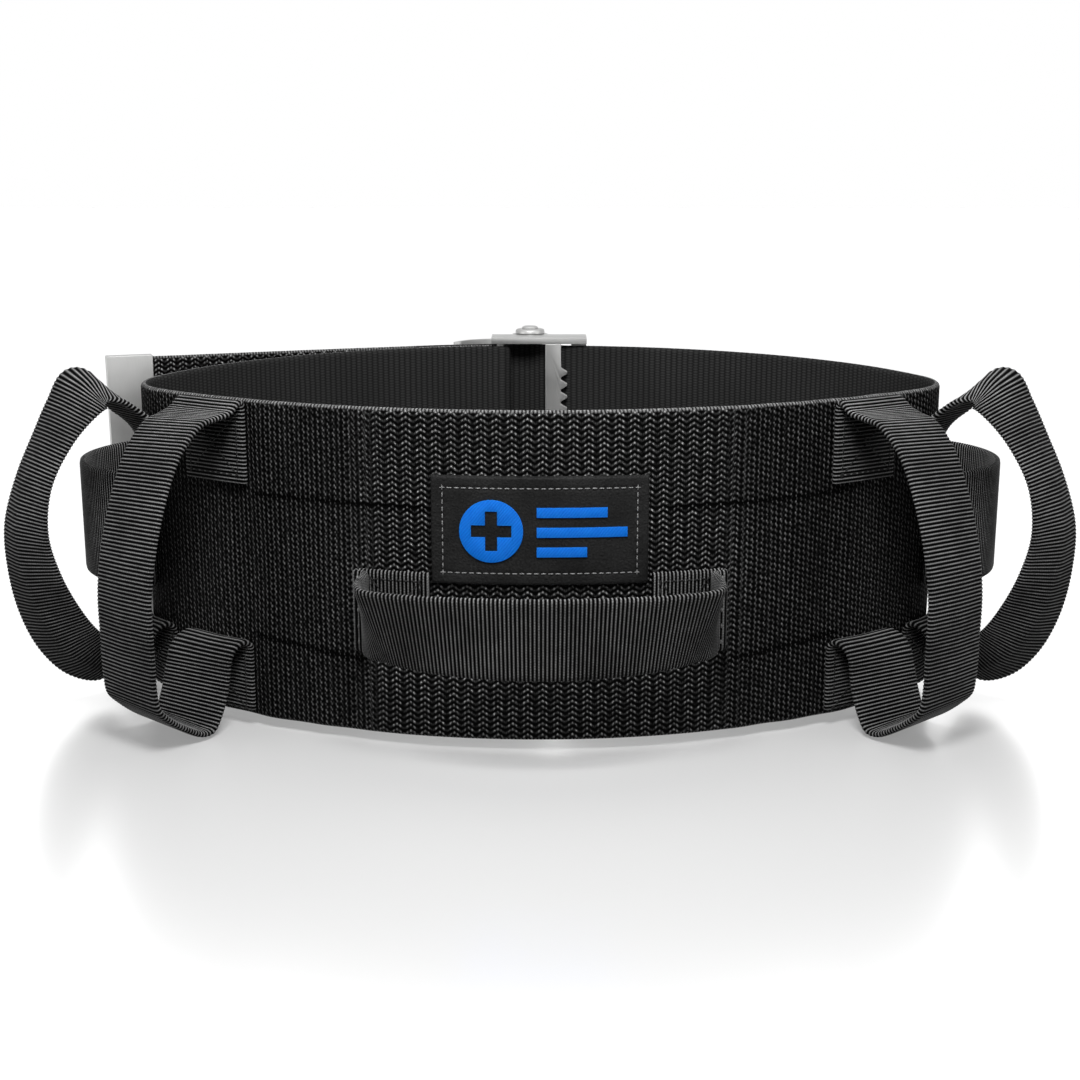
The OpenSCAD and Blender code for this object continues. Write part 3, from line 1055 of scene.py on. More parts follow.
@dataclass
class Workshop:
    """Materials, recipes and the loop's outline, shared by the sub-assemblies."""

    outline: Outline
    face: bpy.types.Material
    back: bpy.types.Material
    strap: bpy.types.Material
    patch: bpy.types.Material
    thread: bpy.types.Material
    patch_thread: bpy.types.Material
    emblem: bpy.types.Material
    metal: bpy.types.Material
    ribs: Recipe = field(default_factory=rib_recipe)
    stitches: Recipe = field(default_factory=stitch_recipe)

    @classmethod
    def open(cls) -> "Workshop":
        """Makes the materials and reads the outline's place from the frame.

        Returns:
            The workshop.
        """
        low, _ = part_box("belt_webbing")
        return cls(
            outline=Outline(front_y=low.y / MM, lift=low.z / MM),
            face=HerringboneFinish("belt_face").build(),
            back=BackFinish().build(),
            strap=RibFinish("strap_ribs").build(),
            patch=PatchFinish().build(),
            thread=ThreadFinish("dark_thread", level=0.03).build(),
            patch_thread=ThreadFinish("grey_thread", level=0.4).build(),
            emblem=EmbroideryFinish().build(),
            metal=SatinMetalFinish().build(),
        )

    def report(self, piece: bpy.types.Object, rides: str, replaced: Sequence[str], slot: str) -> bpy.types.Object:
        """Ends a piece: puts it on its body if it has one, hides the CAD nodes that it stands for, and logs it.

        Args:
            piece: the finished piece.
            rides: a body to ride on, or "" to leave the piece on no body.
            replaced: CAD nodes that it stands for.
            slot: not used.

        Returns:
            The piece.
        """
        if rides:
            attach(piece, rides)
        if replaced:
            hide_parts(*replaced)
        LOG.info("%s: %d faces, on %s", piece.name, len(piece.data.polygons), rides or "two bodies")
        return piece

    def sew(
        self, name: str, lines: Sequence[np.ndarray], replaced: Sequence[str], finish: bpy.types.Material | None = None,
        slot: str = "thread", **sizes: float,
    ) -> bpy.types.Object:
        """Sews rows of stitches that ride on the belt.

        Args:
            name: name of the piece.
            lines: the rows, each an array of points in millimetres.
            replaced: CAD nodes that it stands for.
            finish: the thread, or None for the usual one.
            slot: the material slot.
            sizes: inputs of the stitch recipe.

        Returns:
            The piece.
        """
        points = np.vstack(lines) * MM
        edges, start = [], 0
        for line in lines:
            edges += [(start + i, start + i + 1) for i in range(len(line) - 1)]
            start += len(line)
        wire = bpy.data.meshes.new(name + "_wire")
        wire.from_pydata([tuple(p) for p in points], edges, [])
        source = new_object(name + "_wire", wire)
        piece = self.stitches.run(source, name, finish or self.thread, **sizes)
        return self.report(piece, "belt", replaced, slot)

    def surface_line(self, ends: Sequence[tuple[float, float]], out: float, step: float = 1.5) -> np.ndarray:
        """Points on the belt along straight runs between places.

        Args:
            ends: places as pairs of distance along the outline and height.
            out: distance out of the outer face.
            step: largest distance between points.

        Returns:
            The points.
        """
        rows = []
        for (s0, z0), (s1, z1) in zip(ends, ends[1:]):
            n = max(1, int(math.hypot(s1 - s0, z1 - z0) / step))
            rows += [(s0 + (s1 - s0) * i / n, z0 + (z1 - z0) * i / n) for i in range(n)]
        rows.append(ends[-1])
        s, z = np.array(rows, float).T
        return self.outline.at(s, out, z)

    def boxed_cross(self, s0: float, s1: float, z0: float, z1: float, out: float) -> list[np.ndarray]:
        """The rows of a sewn box with a cross in it.

        Args:
            s0: one side of the box, along the outline.
            s1: the other side.
            z0: its lower edge.
            z1: its upper edge.
            out: distance out of the outer face.

        Returns:
            The three rows.
        """
        box = [(s0, z0), (s1, z0), (s1, z1), (s0, z1), (s0, z0)]
        return [
            self.surface_line(box, out),
            self.surface_line([(s0, z0), (s1, z1)], out),
            self.surface_line([(s0, z1), (s1, z0)], out),
        ]


# ---------------------------------------------------------------------------
# Sub-assemblies
# ---------------------------------------------------------------------------


@dataclass
class BeltWebbing:
    """The wide webbing: one strap from its sewn-back end round the loop to the loose end."""

    shop: Workshop
    webbing: Webbing = field(default_factory=lambda: Webbing(101.6, 2.4, 44, 1.2))
    step: float = 1.7
    bar_at: float = 96.5
    bar_r: float = 2.75
    fold_gap: float = 2.2
    sewn_to: float = 110.0
    flat_to: float = 85.0
    over_from: float = 92.5
    over_rise: float = 7.0
    tail_at: float = 110.0
    tail_len: float = 119.0
    tip_lap: float = 3.0
    fold_rows_at: tuple[float, ...] = (100.5, 101.7, 107.0, 108.2)
    fold_margin: float = 5.0
    map_end: float = field(default=0.0, init=False)

    def build(self) -> None:
        """Makes the loop, its sewing and the loose end."""
        self._loop()
        self._fold_rows()
        self._tail()

    def _centre_line(self) -> np.ndarray:
        """Rows of X, Y and map distance along the middle layer, from the sewn end to the loose end.

        Returns:
            The rows.
        """
        line, half = self.shop.outline, self.webbing.thick / 2
        doubled = line.on_rear(line.rear_r + half, np.linspace(self.sewn_to, self.bar_at + self.fold_gap, 12))
        bar = line.on_rear(line.rear_r, self.bar_at)
        turn = np.radians(np.linspace(120, -120, 15) + self.bar_at - 90)
        fold = bar + self.bar_r * np.column_stack([np.cos(turn), np.sin(turn)])
        inner = line.on_rear(line.rear_r - half, np.linspace(self.bar_at + self.fold_gap, self.sewn_to, 12))
        end = line.rear_s(self.flat_to)
        s = np.linspace(-line.rear_s(180 - self.sewn_to), end, 420)[1:]
        loop = line.at(s, -half, np.full_like(s, self.webbing.width / 2))[:, :2]
        angles = np.linspace(self.flat_to, self.over_from, 12)[1:]
        share = smooth(self.flat_to, self.over_from, angles)
        across = line.on_rear(line.rear_r - half + share * self.over_rise, angles)
        over = line.on_rear(line.rear_r - half + self.over_rise, np.linspace(self.over_from, self.tail_at, 14)[1:])
        start = np.vstack([doubled, fold, inner])
        xy = np.vstack([start, loop, across, over])
        run = np.concatenate([[0], np.cumsum(np.linalg.norm(np.diff(xy, axis=0), axis=1))])
        run += s[0] - run[len(start)]
        return np.column_stack([xy, run])

    def _loop(self) -> None:
        """Sweeps the webbing round the loop."""
        line = self.shop.outline
        rows = even_path(self._centre_line(), self.step, 2, round_off=False)
        xy, s = rows[:, :2], rows[:, 2]
        heading = directions(xy)
        outward = np.column_stack([heading[:, 1], -heading[:, 0]])
        middle = self.webbing.width / 2
        base = line.wave(s, np.full_like(s, middle))
        limit = line.rear_s(self.flat_to)

        def place(w: np.ndarray, h: np.ndarray) -> np.ndarray:
            """Stations of the loop.

            Args:
                w: distances across the webbing, round its section.
                h: distances out of its middle layer, round its section.

            Returns:
                The points of every station.
            """
            z = middle + w[None, :]
            wave = line.wave(s[:, None], z) - base[:, None]
            wave = np.where(np.abs(s[:, None]) < limit, wave, 0.0)
            out = h[None, :] + wave
            flat = xy[:, None, :] + outward[:, None, :] * out[..., None]
            return np.concatenate([flat, np.broadcast_to(z + line.lift, out.shape)[..., None]], axis=-1)

        self.map_end = float(s[-1])
        mesh = webbing_mesh("belt_fabric", self.webbing, s, place, across_from=middle)
        belt = new_object("belt_fabric", mesh, self.shop.face, self.shop.back)
        self.shop.report(belt, "belt", ["belt_webbing"], "webbing")

    def _fold_rows(self) -> None:
        """Sews the doubled end with two pairs of rows."""
        line = self.shop.outline
        rows = []
        for degrees in self.fold_rows_at:
            x, y = line.on_rear(line.rear_r + self.webbing.thick + 0.05, degrees)
            z = np.linspace(self.fold_margin, self.webbing.width - self.fold_margin, 40) + line.lift
            rows.append(np.column_stack([np.full_like(z, x), np.full_like(z, y), z]))
        self.shop.sew("fold_stitches", rows, ["fold_stitching"], Pitch=3.2, Length=2.6, Thread=0.8)

    def _tail(self) -> None:
        """Sweeps the loose end from where it leaves the belt."""
        line = self.shop.outline
        root = line.on_rear(line.rear_r + self.over_rise - self.webbing.thick / 2, self.tail_at)
        turn = math.radians(self.tail_at + 90)
        heading = np.array([math.cos(turn), math.sin(turn)])
        outward = np.array([heading[1], -heading[0]])
        along = np.linspace(0, self.tail_len - self.tip_lap, 90)
        sway = 0.5 * np.sin(along / 26.0) * smooth(4, 30, along) * (1 - smooth(88, 100, along))

        def place(w: np.ndarray, h: np.ndarray) -> np.ndarray:
            """Stations of the loose end.

            Args:
                w: distances across the webbing, round its section.
                h: distances out of its middle layer, round its section.

            Returns:
                The points of every station.
            """
            xy = root + heading * along[:, None] + outward * sway[:, None]
            flat = xy[:, None, :] + outward[None, None, :] * h[None, :, None]
            z = np.broadcast_to(w + self.webbing.width / 2 + line.lift, (len(along), len(w)))
            return np.concatenate([flat, z[..., None]], axis=-1)

        middle = self.webbing.width / 2
        mesh = webbing_mesh("tail_fabric", self.webbing, along + self.map_end, place, across_from=middle)
        tail = new_object("tail_fabric", mesh, self.shop.face, self.shop.face)
        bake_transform(tail)
        self.shop.report(tail, "", ["tail_webbing"], "webbing")


@dataclass
class UprightHandle:
    """A hand strap that stands upright: sewn on above and below, and bowed out between."""

    shop: Workshop
    family: str
    side: Side
    s: float
    rows: Sequence[Sequence[float]]
    upper: tuple[float, float]
    lower: tuple[float, float] = (2.5, 21.5)
    webbing: Webbing = field(default_factory=hand_strap)
    step: float = 0.24
    follow: tuple[float, float] = (3.2, 11.0)
    bends_to: float = 13.0
    margin: float = 2.6

    def build(self) -> None:
        """Makes the strap and its sewing."""
        name = f"{self.family}_{self.side.label}"
        line = self.shop.outline
        path = even_path(self.rows, self.step, 2)
        u, z, roll, cup, slide, along = path.T
        heading = directions(path[:, :2])
        turn = float(line.angle(self.s))
        out = np.array([math.cos(turn), math.sin(turn), 0.0])
        base = line.at(self.s, 0.0, 45.0) * np.array([1, 1, 0]) + np.array([0, 0, line.lift])
        up = np.array([0.0, 0.0, 1.0])
        back = np.array([-math.sin(turn), math.cos(turn), 0.0])
        travel = out * heading[:, :1] + up * heading[:, 1:]
        level = np.cross(travel, back)
        rolled = np.radians(roll)[:, None]
        across = back * np.cos(rolled) + level * np.sin(rolled)
        outer = level * np.cos(rolled) - back * np.sin(rolled)
        free = smooth(*self.follow, u)[:, None, None]

        def place(w: np.ndarray, h: np.ndarray) -> np.ndarray:
            """Stations: on the belt's curve beside it, and straight across further out.

            Args:
                w: distances across the webbing, round its section.
                h: distances out of its middle layer, round its section.

            Returns:
                The points of every station.
            """
            high = h[None, :] - cup[:, None] * (np.sqrt((2 * w[None, :] / self.webbing.width) ** 2 + 0.02) - 0.14)
            ahead = u[:, None] - high * heading[:, 1:]
            sewn = line.at(self.s + w[None, :] + slide[:, None], ahead, z[:, None] + high * heading[:, :1])
            centre = base + out * u[:, None] + up * z[:, None] + back * slide[:, None]
            loose = centre[:, None, :] + across[:, None, :] * w[None, :, None] + outer[:, None, :] * high[..., None]
            return sewn * (1 - free) + loose * free

        mesh = webbing_mesh(name, self.webbing, along, place, mirror=self.side is Side.LEFT)
        strap = self.shop.ribs.run(new_object(name + "_flat", mesh), name + "_webbing", self.shop.strap)
        flip = np.array([self.side.value, 1, 1])
        start = Vector(base * flip * MM)
        start + Vector(out * flip * self.bends_to * MM)
        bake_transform(strap)
        self.shop.report(strap, "", [name + part for part in ("_strap", "_upper_tab", "_lower_tab")], "strap")
        self._sewing(name)

    def _sewing(self, name: str) -> None:
        """Sews a box with a cross in it through each end.

        Args:
            name: name of the handle.
        """
        out = self.webbing.thick + 0.12
        centre, half = self.s * self.side.value, self.webbing.width / 2 - self.margin
        rows = self.shop.boxed_cross(centre - half, centre + half, *self.upper, out)
        rows += self.shop.boxed_cross(centre - half, centre + half, *self.lower, out)
        self.shop.sew(name + "_stitches", rows, [name + "_stitching"])


# Where the upright handles are sewn on: distance along the outline, and the upper sewing's lower and upper edge
FRONT_AT, FRONT_SEWN = 107.0, (78.0, 97.0)
SIDE_AT, SIDE_SEWN = 140.2, (77.0, 82.5)
# Rows of a handle's path: out of the belt, height, roll in degrees, cup and slide along the belt
LOWER_FOLD = (
    (8.9, 15.0, -7, 0, 3.4), (8.0, 19.6, -6, 0, 3.2), (6.0, 23.2, -4, 0, 2.4), (3.2, 24.6, -1, 0, 1.0),
    (1.5, 23.4, 0, 0, 0), (0.95, 20, 0, 0, 0), (0.95, 12, 0, 0, 0), (0.95, 2.2, 0, 0, 0),
)
FRONT_ROWS = (
    (0.95, 75.6, 0, 0, 0), (0.95, 86, 0, 0, 0), (0.95, 95.5, 0, 0, 0), (1.2, 99.0, 0, 0, 0), (2.1, 100.6, 0, 0, 0),
    (3.6, 100.2, 0, 0, 0), (6.5, 97.8, -1, 0, 0.2), (11, 96.5, -2, 0, 0.5), (16.5, 95.0, -3, 0, 1),
    (24, 88, -5, 0.2, 1.8), (30, 77, -6, 0.5, 2.4), (36, 60, -6, 0.8, 2.8), (38.5, 45, -6, 0.8, 3),
    (38.5, 30, -6, 0.8, 3), (38.0, 18, -6, 0.5, 3), (36.6, 12.4, -6, 0.1, 3), (32.6, 8.2, -6, 0, 3),
    (25, 2.6, -5, 0, 3), (19.4, -0.2, -5, 0, 3), (16, -0.2, -5, 0, 3), (13.4, 3.2, -6, 0, 3.1),
    (10.8, 8.5, -7, 0, 3.3), *LOWER_FOLD,
)
SIDE_ROWS = (
    (0.95, 75.4, 0, 0, 0), (0.95, 79, 0, 0, 0), (1.1, 83, -2, 0, 0), (2.8, 87.5, -4, 0, 0), (8, 94.5, -4, 0.3, 0),
    (13, 100.6, 4, 0.8, 0), (17, 103.9, 18, 1.2, 0), (21, 103.6, 24, 1.6, 0), (27.3, 97.5, 14, 1.8, 0),
    (34, 88.5, 6, 2, 0), (41.2, 75.5, 4, 2.4, 0), (45, 60, 11, 3, 0), (43.6, 45, 20, 3.6, 0), (39, 31, 30, 3.6, 0),
    (32.5, 19.6, 37, 3.4, 0), (25, 12.8, 41, 2.8, 0), (17, 9.6, 36, 1.8, 1), (12.2, 9.4, 18, 0.6, 2),
    (9.8, 11.5, 4, 0, 3),
    *((u, z, roll, cup, slide + 2) for u, z, roll, cup, slide in LOWER_FOLD),
)


@dataclass
class LevelHandle:
    """A hand strap that lies level: its two ends are folded under and sewn on beside each other."""

    shop: Workshop
    name: str
    webbing: Webbing
    middle: float
    rows: Sequence[Sequence[float]]
    replaced: Sequence[str]
    mirror: bool
    bends: tuple[Sequence[float], Sequence[float]]
    step: float = 0.24

    def build(self) -> None:
        """Makes the strap from rows of X, Y and outward tilt."""
        line = self.shop.outline
        path = even_path(self.rows, self.step, 2)
        heading = directions(path[:, :2])
        level = np.column_stack([heading[:, 1], -heading[:, 0], np.zeros(len(path))])
        tilt = np.radians(path[:, 2])[:, None]
        up = np.array([0.0, 0.0, 1.0])
        across = up * np.cos(tilt) + level * np.sin(tilt)
        outer = level * np.cos(tilt) - up * np.sin(tilt)
        centre = np.column_stack([path[:, :2], np.full(len(path), self.middle + line.lift)])

        def place(w: np.ndarray, h: np.ndarray) -> np.ndarray:
            """Stations of the strap."""
            return centre[:, None, :] + across[:, None, :] * w[None, :, None] + outer[:, None, :] * h[None, :, None]

        mesh = webbing_mesh(self.name, self.webbing, path[:, 3], place, mirror=self.mirror)
        strap = self.shop.ribs.run(new_object(self.name + "_flat", mesh), self.name + "_webbing", self.shop.strap)
        start, end = (Vector((*p, self.middle + line.lift)) * MM for p in self.bends)
        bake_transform(strap)
        self.shop.report(strap, "", self.replaced, "strap")


@dataclass
class CentreHandle:
    """The level hand strap across the front, below the patch."""

    shop: Workshop
    middle: float = 39.7
    fold_s: float = 56.2
    inner_s: float = 33.6
    sewn_s: tuple[float, float] = (36.0, 51.0)
    sewn_half: float = 10.0
    dots_s: float = 54.7
    bow: Sequence[Sequence[float]] = (
        (52.6, -1.5, 4), (51.6, -6.5, 12), (49.6, -10.6, 20), (46.6, -13.8, 20), (40, -17.9, 17), (30, -21.9, 13),
        (15, -25.4, 9), (0, -26.6, 8),
    )

    def build(self) -> None:
        """Makes the strap and its sewing."""
        line = self.shop.outline
        fold = self.fold_s
        tab = [(self.inner_s, 0.95), (44, 0.95), (fold - 3, 0.95), (fold - 0.6, 1.15), (fold, 1.95)]
        tab += [(fold - 0.6, 2.75), (fold - 2, 2.95), (fold - 3.1, 3.2), (fold - 4.1, 4.4), (fold - 4.4, 6.2)]
        half = [(*line.at(s, out, self.middle)[:2], 0.0) for s, out in tab]
        half += [(x, y + line.front_y, tilt) for x, y, tilt in self.bow]
        rows = [(-x, y, tilt) for x, y, tilt in half[:-1]] + half[::-1]
        LevelHandle(
            self.shop, "centre", hand_strap(), self.middle, rows,
            ["centre_strap", "centre_left_tab", "centre_right_tab"], False,
            ((0, line.front_y + 6.0), (0, line.front_y - 6.5)),
        ).build()
        sewn, dots = [], []
        for sign in (-1, 1):
            near, far = (sign * s for s in self.sewn_s)
            sewn += self.shop.boxed_cross(near, far, self.middle - self.sewn_half, self.middle + self.sewn_half, 1.95)
            ends = [(sign * self.dots_s, self.middle - 9.5), (sign * self.dots_s, self.middle + 10.5)]
            dots.append(self.shop.surface_line(ends, 4.05))
        self.shop.sew("centre_stitches", sewn, ["centre_stitching"])
        self.shop.sew("fold_dots", dots, [], self.shop.patch_thread, Pitch=4.6, Length=1.5, Thread=0.6)


@dataclass
class SideLoop:
    """The wide level hand strap behind a side handle."""

    shop: Workshop
    side: Side
    middle: float = 54.8
    near_s: float = 140.0
    far_s: float = 218.0
    bow_r: float = 41.0
    bow_out: float = -1.0
    bow_skip: float = 19.0
    tab_len: float = 24.0
    sewn_half: float = 16.0
    webbing: Webbing = field(default_factory=lambda: Webbing(38.0, 1.8, 16))

    def build(self) -> None:
        """Makes the strap and its sewing."""
        line = self.shop.outline
        near, far = (line.at(s, 0, self.middle)[:2] for s in (self.near_s, self.far_s))
        chord = far - near
        lean = math.atan2(chord[1], chord[0])
        away = np.array([math.cos(lean - math.pi / 2), math.sin(lean - math.pi / 2)])
        centre = (near + far) / 2 + away * self.bow_out
        turns = np.linspace(lean - math.pi + math.radians(self.bow_skip), lean - math.radians(self.bow_skip), 9)
        rows = self._end(self.near_s, 1)
        rows += [(*(centre + self.bow_r * np.array([math.cos(t), math.sin(t)])), 0.0) for t in turns]
        rows += self._end(self.far_s, -1)[::-1]
        name = f"level_{self.side.label}"
        flip = np.array([self.side.value, 1])
        middle = (near + far) / 2
        LevelHandle(
            self.shop, name, self.webbing, self.middle, rows,
            [name + part for part in ("_strap", "_near_tab", "_far_tab")], self.side is Side.LEFT,
            (middle * flip + away * flip * 8.0, (middle + away * 22.0) * flip),
        ).build()
        sewn = []
        for fold, way in ((self.near_s, 1), (self.far_s, -1)):
            ends = [(fold + way * d) * self.side.value for d in (5.0, self.tab_len - 3)]
            sewn += self.shop.boxed_cross(*ends, self.middle - self.sewn_half, self.middle + self.sewn_half, 1.95)
        self.shop.sew(name + "_stitches", sewn, [name + "_stitching"])

    def _end(self, fold: float, way: int) -> list[tuple[float, float, float]]:
        """A sewn end that lies on the belt and folds outwards."""
        places = ((self.tab_len - 0.5, 0.95), (13, 0.95), (4, 0.95), (1.0, 1.4), (0.2, 3.2), (1.0, 6.0))
        return [(*self.shop.outline.at(fold + way * d, out, self.middle)[:2], 0.0) for d, out in places]


@dataclass
class NamePatch:
    """The black patch on the front, with a plain embroidered badge."""

    shop: Workshop
    width: float = 65.0
    height: float = 33.0
    thick: float = 1.4
    low: float = 49.3
    inset: float = 3.6
    grid: tuple[int, int] = (156, 80)

    def build(self) -> None:
        """Makes the patch, its sewing and the badge."""
        self._patch()
        mid = self.low + self.height / 2
        x, z = self.width / 2 - self.inset, self.height / 2 - self.inset
        frame = [(-x, mid - z), (x, mid - z), (x, mid + z), (-x, mid + z), (-x, mid - z)]
        rows = [self.shop.surface_line(pair, self.thick - 0.05) for pair in zip(frame, frame[1:])]
        self.shop.sew(
            "patch_stitches", rows, ["patch_stitching"], self.shop.patch_thread, Pitch=2.1, Length=1.6, Thread=0.42
        )
        badge = beveled_copy("patch_emblem", "patch_badge", self.shop.emblem, 0.14)
        self.shop.report(badge, "belt", ["patch_emblem"], "emblem")

    def _rise(self, s: np.ndarray, z: np.ndarray) -> np.ndarray:
        """Height of the patch's face: rounded edges, a sewn channel and slight puckers.

        Args:
            s: distance along the outline.
            z: height above the belt's lower edge.

        Returns:
            The height out of the belt's face.
        """
        mid = self.low + self.height / 2
        edge = np.minimum(self.width / 2 - np.abs(s), self.height / 2 - np.abs(z - mid))
        rounded = np.sqrt(np.maximum(0.0, 1 - (1 - np.minimum(1, edge / 0.9)) ** 2))
        channel = np.exp(-(((edge - self.inset) / 0.55) ** 2)) * 0.22
        along = np.where(self.width / 2 - np.abs(s) < self.height / 2 - np.abs(z - mid), z, s)
        pucker = 0.07 * np.sin(along * TURN / 4.2) * np.exp(-(((edge - self.inset) / 1.7) ** 2))
        soft = np.array([noise.noise(Vector((a * 0.09, b * 0.09, 0.4))) for a, b in zip(s.ravel(), z.ravel())])
        return self.thick * (0.35 + 0.65 * rounded) - channel + pucker + 0.12 * soft.reshape(s.shape) * rounded

    def _patch(self) -> None:
        """Makes the patch as a closed sheet on the belt's curve."""
        nx, nz = self.grid
        s, z = np.meshgrid(
            np.linspace(-1, 1, nx + 1) * self.width / 2,
            np.linspace(-1, 1, nz + 1) * self.height / 2 + self.low + self.height / 2, indexing="ij",
        )
        top = self.shop.outline.at(s, self._rise(s, z), z).reshape(-1, 3)
        under = self.shop.outline.at(s, 0.05, z).reshape(-1, 3)
        m, total = nz + 1, (nx + 1) * (nz + 1)
        quads = [(i * m + j, (i + 1) * m + j, (i + 1) * m + j + 1, i * m + j + 1) for i in range(nx) for j in range(nz)]
        rim = [i * m for i in range(nx + 1)] + [nx * m + j for j in range(1, nz + 1)]
        rim += [i * m + nz for i in range(nx - 1, -1, -1)] + [j for j in range(nz - 1, 0, -1)]
        faces = quads + [tuple(v + total for v in q[::-1]) for q in quads]
        faces += [(a, a + total, b + total, b) for a, b in zip(rim, rim[1:] + rim[:1])]
        mesh = mesh_from("patch_leather", np.vstack([top, under]), faces)
        turn_outwards(mesh)
        corners = np.zeros(len(mesh.loops), np.int32)
        mesh.loops.foreach_get("vertex_index", corners)
        flat = np.column_stack([np.tile(s.ravel(), 2), np.tile(z.ravel(), 2)]) * MM
        mesh.uv_layers.new(name=UV_NAME).data.foreach_set("uv", flat[corners].astype(np.float32).ravel())
        self.shop.report(new_object("patch_leather", mesh, self.shop.patch), "belt", ["name_patch"], "patch")


def beveled_copy(node: str, name: str, finish: bpy.types.Material, width: float) -> bpy.types.Object:
    """A copy of a CAD node with its edges eased.

    Args:
        node: the CAD node.
        name: name of the copy.
        finish: its material.
        width: how far the easing reaches, in millimetres.

    Returns:
        The plain copy.
    """
    work = bmesh.new()
    work.from_mesh(bpy.data.objects[node].data)
    bmesh.ops.remove_doubles(work, verts=work.verts, dist=2e-6)
    bmesh.ops.dissolve_limit(work, angle_limit=math.radians(1.0), verts=work.verts, edges=work.edges)
    mesh = bpy.data.meshes.new(name)
    work.to_mesh(mesh)
    work.free()
    mesh.shade_smooth()
    obj = new_object(name + "_raw", mesh)
    bevel = obj.modifiers.new("ease", "BEVEL")
    bevel.width, bevel.segments, bevel.limit_method = width * MM, 3, "ANGLE"
    bevel.angle_limit = EASED_FROM
    made = evaluated_copy(obj, name)
    made.data.set_sharp_from_angle(angle=EASED_SHARP)
    made.data.materials.clear()
    made.data.materials.append(finish)
    return made


def turned(
    name: str, profile: Sequence[tuple[float, float]], centre: Sequence[float], finish: bpy.types.Material
) -> bpy.types.Object:
    """A round part from its profile.

    Args:
        name: name of the part.
        profile: pairs of radius and height from the bottom's middle to the top's middle, in millimetres.
        centre: X and Y of the axis, in millimetres.
        finish: its material.

    Returns:
        The part.
    """
    count = 72
    inner = profile[1:-1]
    t = np.arange(count) * TURN / count
    rings = [
        np.column_stack([centre[0] + r * np.cos(t), centre[1] + r * np.sin(t), np.full(count, z)]) for r, z in inner
    ]
    poles = [(*centre, profile[0][1]), (*centre, profile[-1][1])]
    points = np.vstack([*rings, poles])
    low, high = len(points) - 2, len(points) - 1
    faces: list[tuple[int, ...]] = []
    for k in range(len(inner) - 1):
        faces += [
            (k * count + i, k * count + (i + 1) % count, (k + 1) * count + (i + 1) % count, (k + 1) * count + i)
            for i in range(count)
        ]
    last = (len(inner) - 1) * count
    faces += [(low, (i + 1) % count, i) for i in range(count)]
    faces += [(high, last + i, last + (i + 1) % count) for i in range(count)]
    mesh = mesh_from(name, points, faces)
    turn_outwards(mesh)
    mesh.set_sharp_from_angle(angle=ROUND_SHARP)
    return new_object(name, mesh, finish)


@dataclass
class Buckle:
    """The metal buckle at the back, and the tip on the loose end."""

    shop: Workshop
    boss_r: float = 5.8
    rivet_r: float = 3.2
    stem_r: float = 2.0

    def build(self) -> None:
        """Makes the metal parts."""
        for node, body, width in (
            ("buckle_frame", "belt", 0.5), ("grip_plate", "belt", 0.3),
            ("lever", "lever", 0.4), ("tail_tip", "tail", 0.5),
        ):
            part = beveled_copy(node, node + "_metal", self.shop.metal, width)
            self.shop.report(part, body, [node], "metal")
        self._pin()
        bar = bpy.data.objects["anchor_bar"]
        bar.data.materials.clear()
        bar.data.materials.append(self.shop.metal)

    def _pin(self) -> None:
        """Turns the boss washer and the pin with its rivet head."""
        low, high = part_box("pin_washers")
        axis = [(low.x + high.x) / 2 / MM, (low.y + high.y) / 2 / MM]
        base, top = low.z / MM, high.z / MM
        boss = [
            (0, base), (self.boss_r - 0.3, base), (self.boss_r, base + 0.3), (self.boss_r, top - 0.8),
            (self.boss_r - 0.25, top - 0.3), (self.boss_r - 0.9, top), (self.rivet_r + 0.3, top), (0, top),
        ]
        self.shop.report(turned("boss_washer", boss, axis, self.shop.metal), "belt", ["pin_washers"], "metal")
        low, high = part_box("hinge_pin")
        stem, head = self.stem_r, high.z / MM
        pin = [
            (0, low.z / MM), (stem, low.z / MM), (stem, top + 0.02), (self.rivet_r, top + 0.02),
            (self.rivet_r, top + 0.5), (self.rivet_r - 0.3, top + 0.85), (self.rivet_r - 1.1, head - 0.05), (0, head),
        ]
        self.shop.report(turned("rivet_pin", pin, axis, self.shop.metal), "belt", ["hinge_pin"], "metal")


# ---------------------------------------------------------------------------
# Studio
# ---------------------------------------------------------------------------


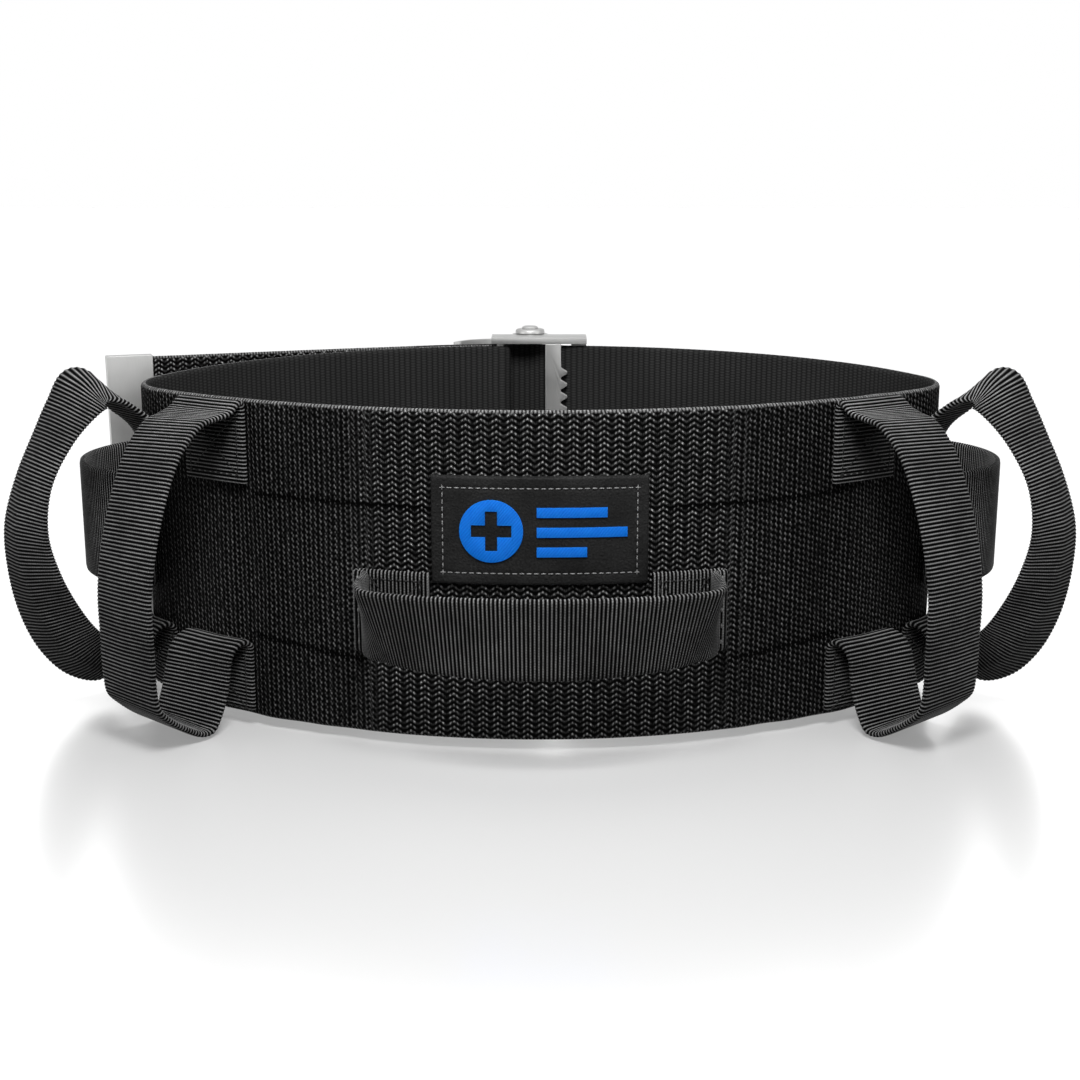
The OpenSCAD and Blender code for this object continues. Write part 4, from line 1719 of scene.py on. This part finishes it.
@dataclass
class Studio:
    """Camera, floor and soft light."""

    lens: float = 54.0
    sensor: float = 36.0
    pitch: float = 13.12
    camera_y: float = -0.5523
    camera_z: float = 0.1756
    ambient: float = 0.1
    floor_half: float = 6.0
    aim: tuple[float, float, float] = (0.0, 0.0, 0.05)
    boxes: Sequence[tuple[str, tuple[float, float, float], float, float]] = (
        ("key", (0.0, -0.3, 0.44), 0.18, 2.3),
        ("top", (0.0, 0.15, 1.5), 1.6, 7.0),
        ("left_rim", (-0.75, -0.35, 0.3), 0.35, 1.2),
        ("right_rim", (0.75, -0.35, 0.3), 0.35, 1.2),
    )

    def build(self) -> None:
        """Sets the camera, the floor and the light."""
        self._camera()
        half = self.floor_half
        plane = bpy.data.meshes.new("floor")
        plane.from_pydata([(-half, -half, 0), (half, -half, 0), (half, half, 0), (-half, half, 0)], [], [(0, 1, 2, 3)])
        new_object("floor", plane, FloorFinish().build())
        self._sky()
        bpy.context.scene.view_settings.view_transform = "Standard"
        for name, place, size, power in self.boxes:
            self._softbox(name, place, size, power)

    def _camera(self) -> None:
        """Makes the camera."""
        data = bpy.data.cameras.new("camera")
        data.lens, data.sensor_width, data.clip_start, data.clip_end = self.lens, self.sensor, 0.01, 50.0
        camera = bpy.data.objects.new("camera", data)
        camera.location = (0.0, self.camera_y, self.camera_z)
        camera.rotation_euler = (math.radians(90 - self.pitch), 0.0, 0.0)
        bpy.context.scene.collection.objects.link(camera)
        bpy.context.scene.camera = camera

    def _sky(self) -> None:
        """Makes the white surroundings, which light the cloth only a little."""
        world = bpy.data.worlds.new("studio")
        world.use_nodes = True
        sky = Tree(world.node_tree)
        path = sky.node("ShaderNodeLightPath").outputs
        soft = (sky.value(path["Is Diffuse Ray"]) + sky.value(path["Diffuse Depth"])).math("MINIMUM", 1.0)
        strength = 1.0 - soft * (1.0 - self.ambient)
        glow = sky.node("ShaderNodeBackground", None, {"Color": (1, 1, 1, 1), "Strength": strength})
        sky.node("ShaderNodeOutputWorld", None, {"Surface": glow.outputs[0]})
        bpy.context.scene.world = world

    def _softbox(self, name: str, place: tuple[float, float, float], size: float, power: float) -> None:
        """Makes a square area light that points at the belt.

        Args:
            name: name of the light.
            place: where it stands, in metres.
            size: length of its side, in metres.
            power: its power, in watts.
        """
        data = bpy.data.lights.new(name, "AREA")
        data.size, data.energy = size, power
        lamp = bpy.data.objects.new(name, data)
        lamp.location = place
        lamp.rotation_euler = (Vector(self.aim) - Vector(place)).to_track_quat("-Z", "Y").to_euler()
        bpy.context.scene.collection.objects.link(lamp)


def main() -> None:
    """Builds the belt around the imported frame."""
    logging.basicConfig(level=logging.INFO, format="%(message)s")
    for obj in list(bpy.data.objects):
        bpy.data.objects.remove(obj)
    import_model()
    Studio().build()
    shop = Workshop.open()
    BeltWebbing(shop).build()
    NamePatch(shop).build()
    CentreHandle(shop).build()
    for side in Side:
        UprightHandle(shop, "front", side, FRONT_AT, FRONT_ROWS, FRONT_SEWN).build()
        UprightHandle(shop, "side", side, SIDE_AT, SIDE_ROWS, SIDE_SEWN).build()
        SideLoop(shop, side).build()
    Buckle(shop).build()
    bpy.context.view_layer.update()


if __name__ == "__main__":
    main()
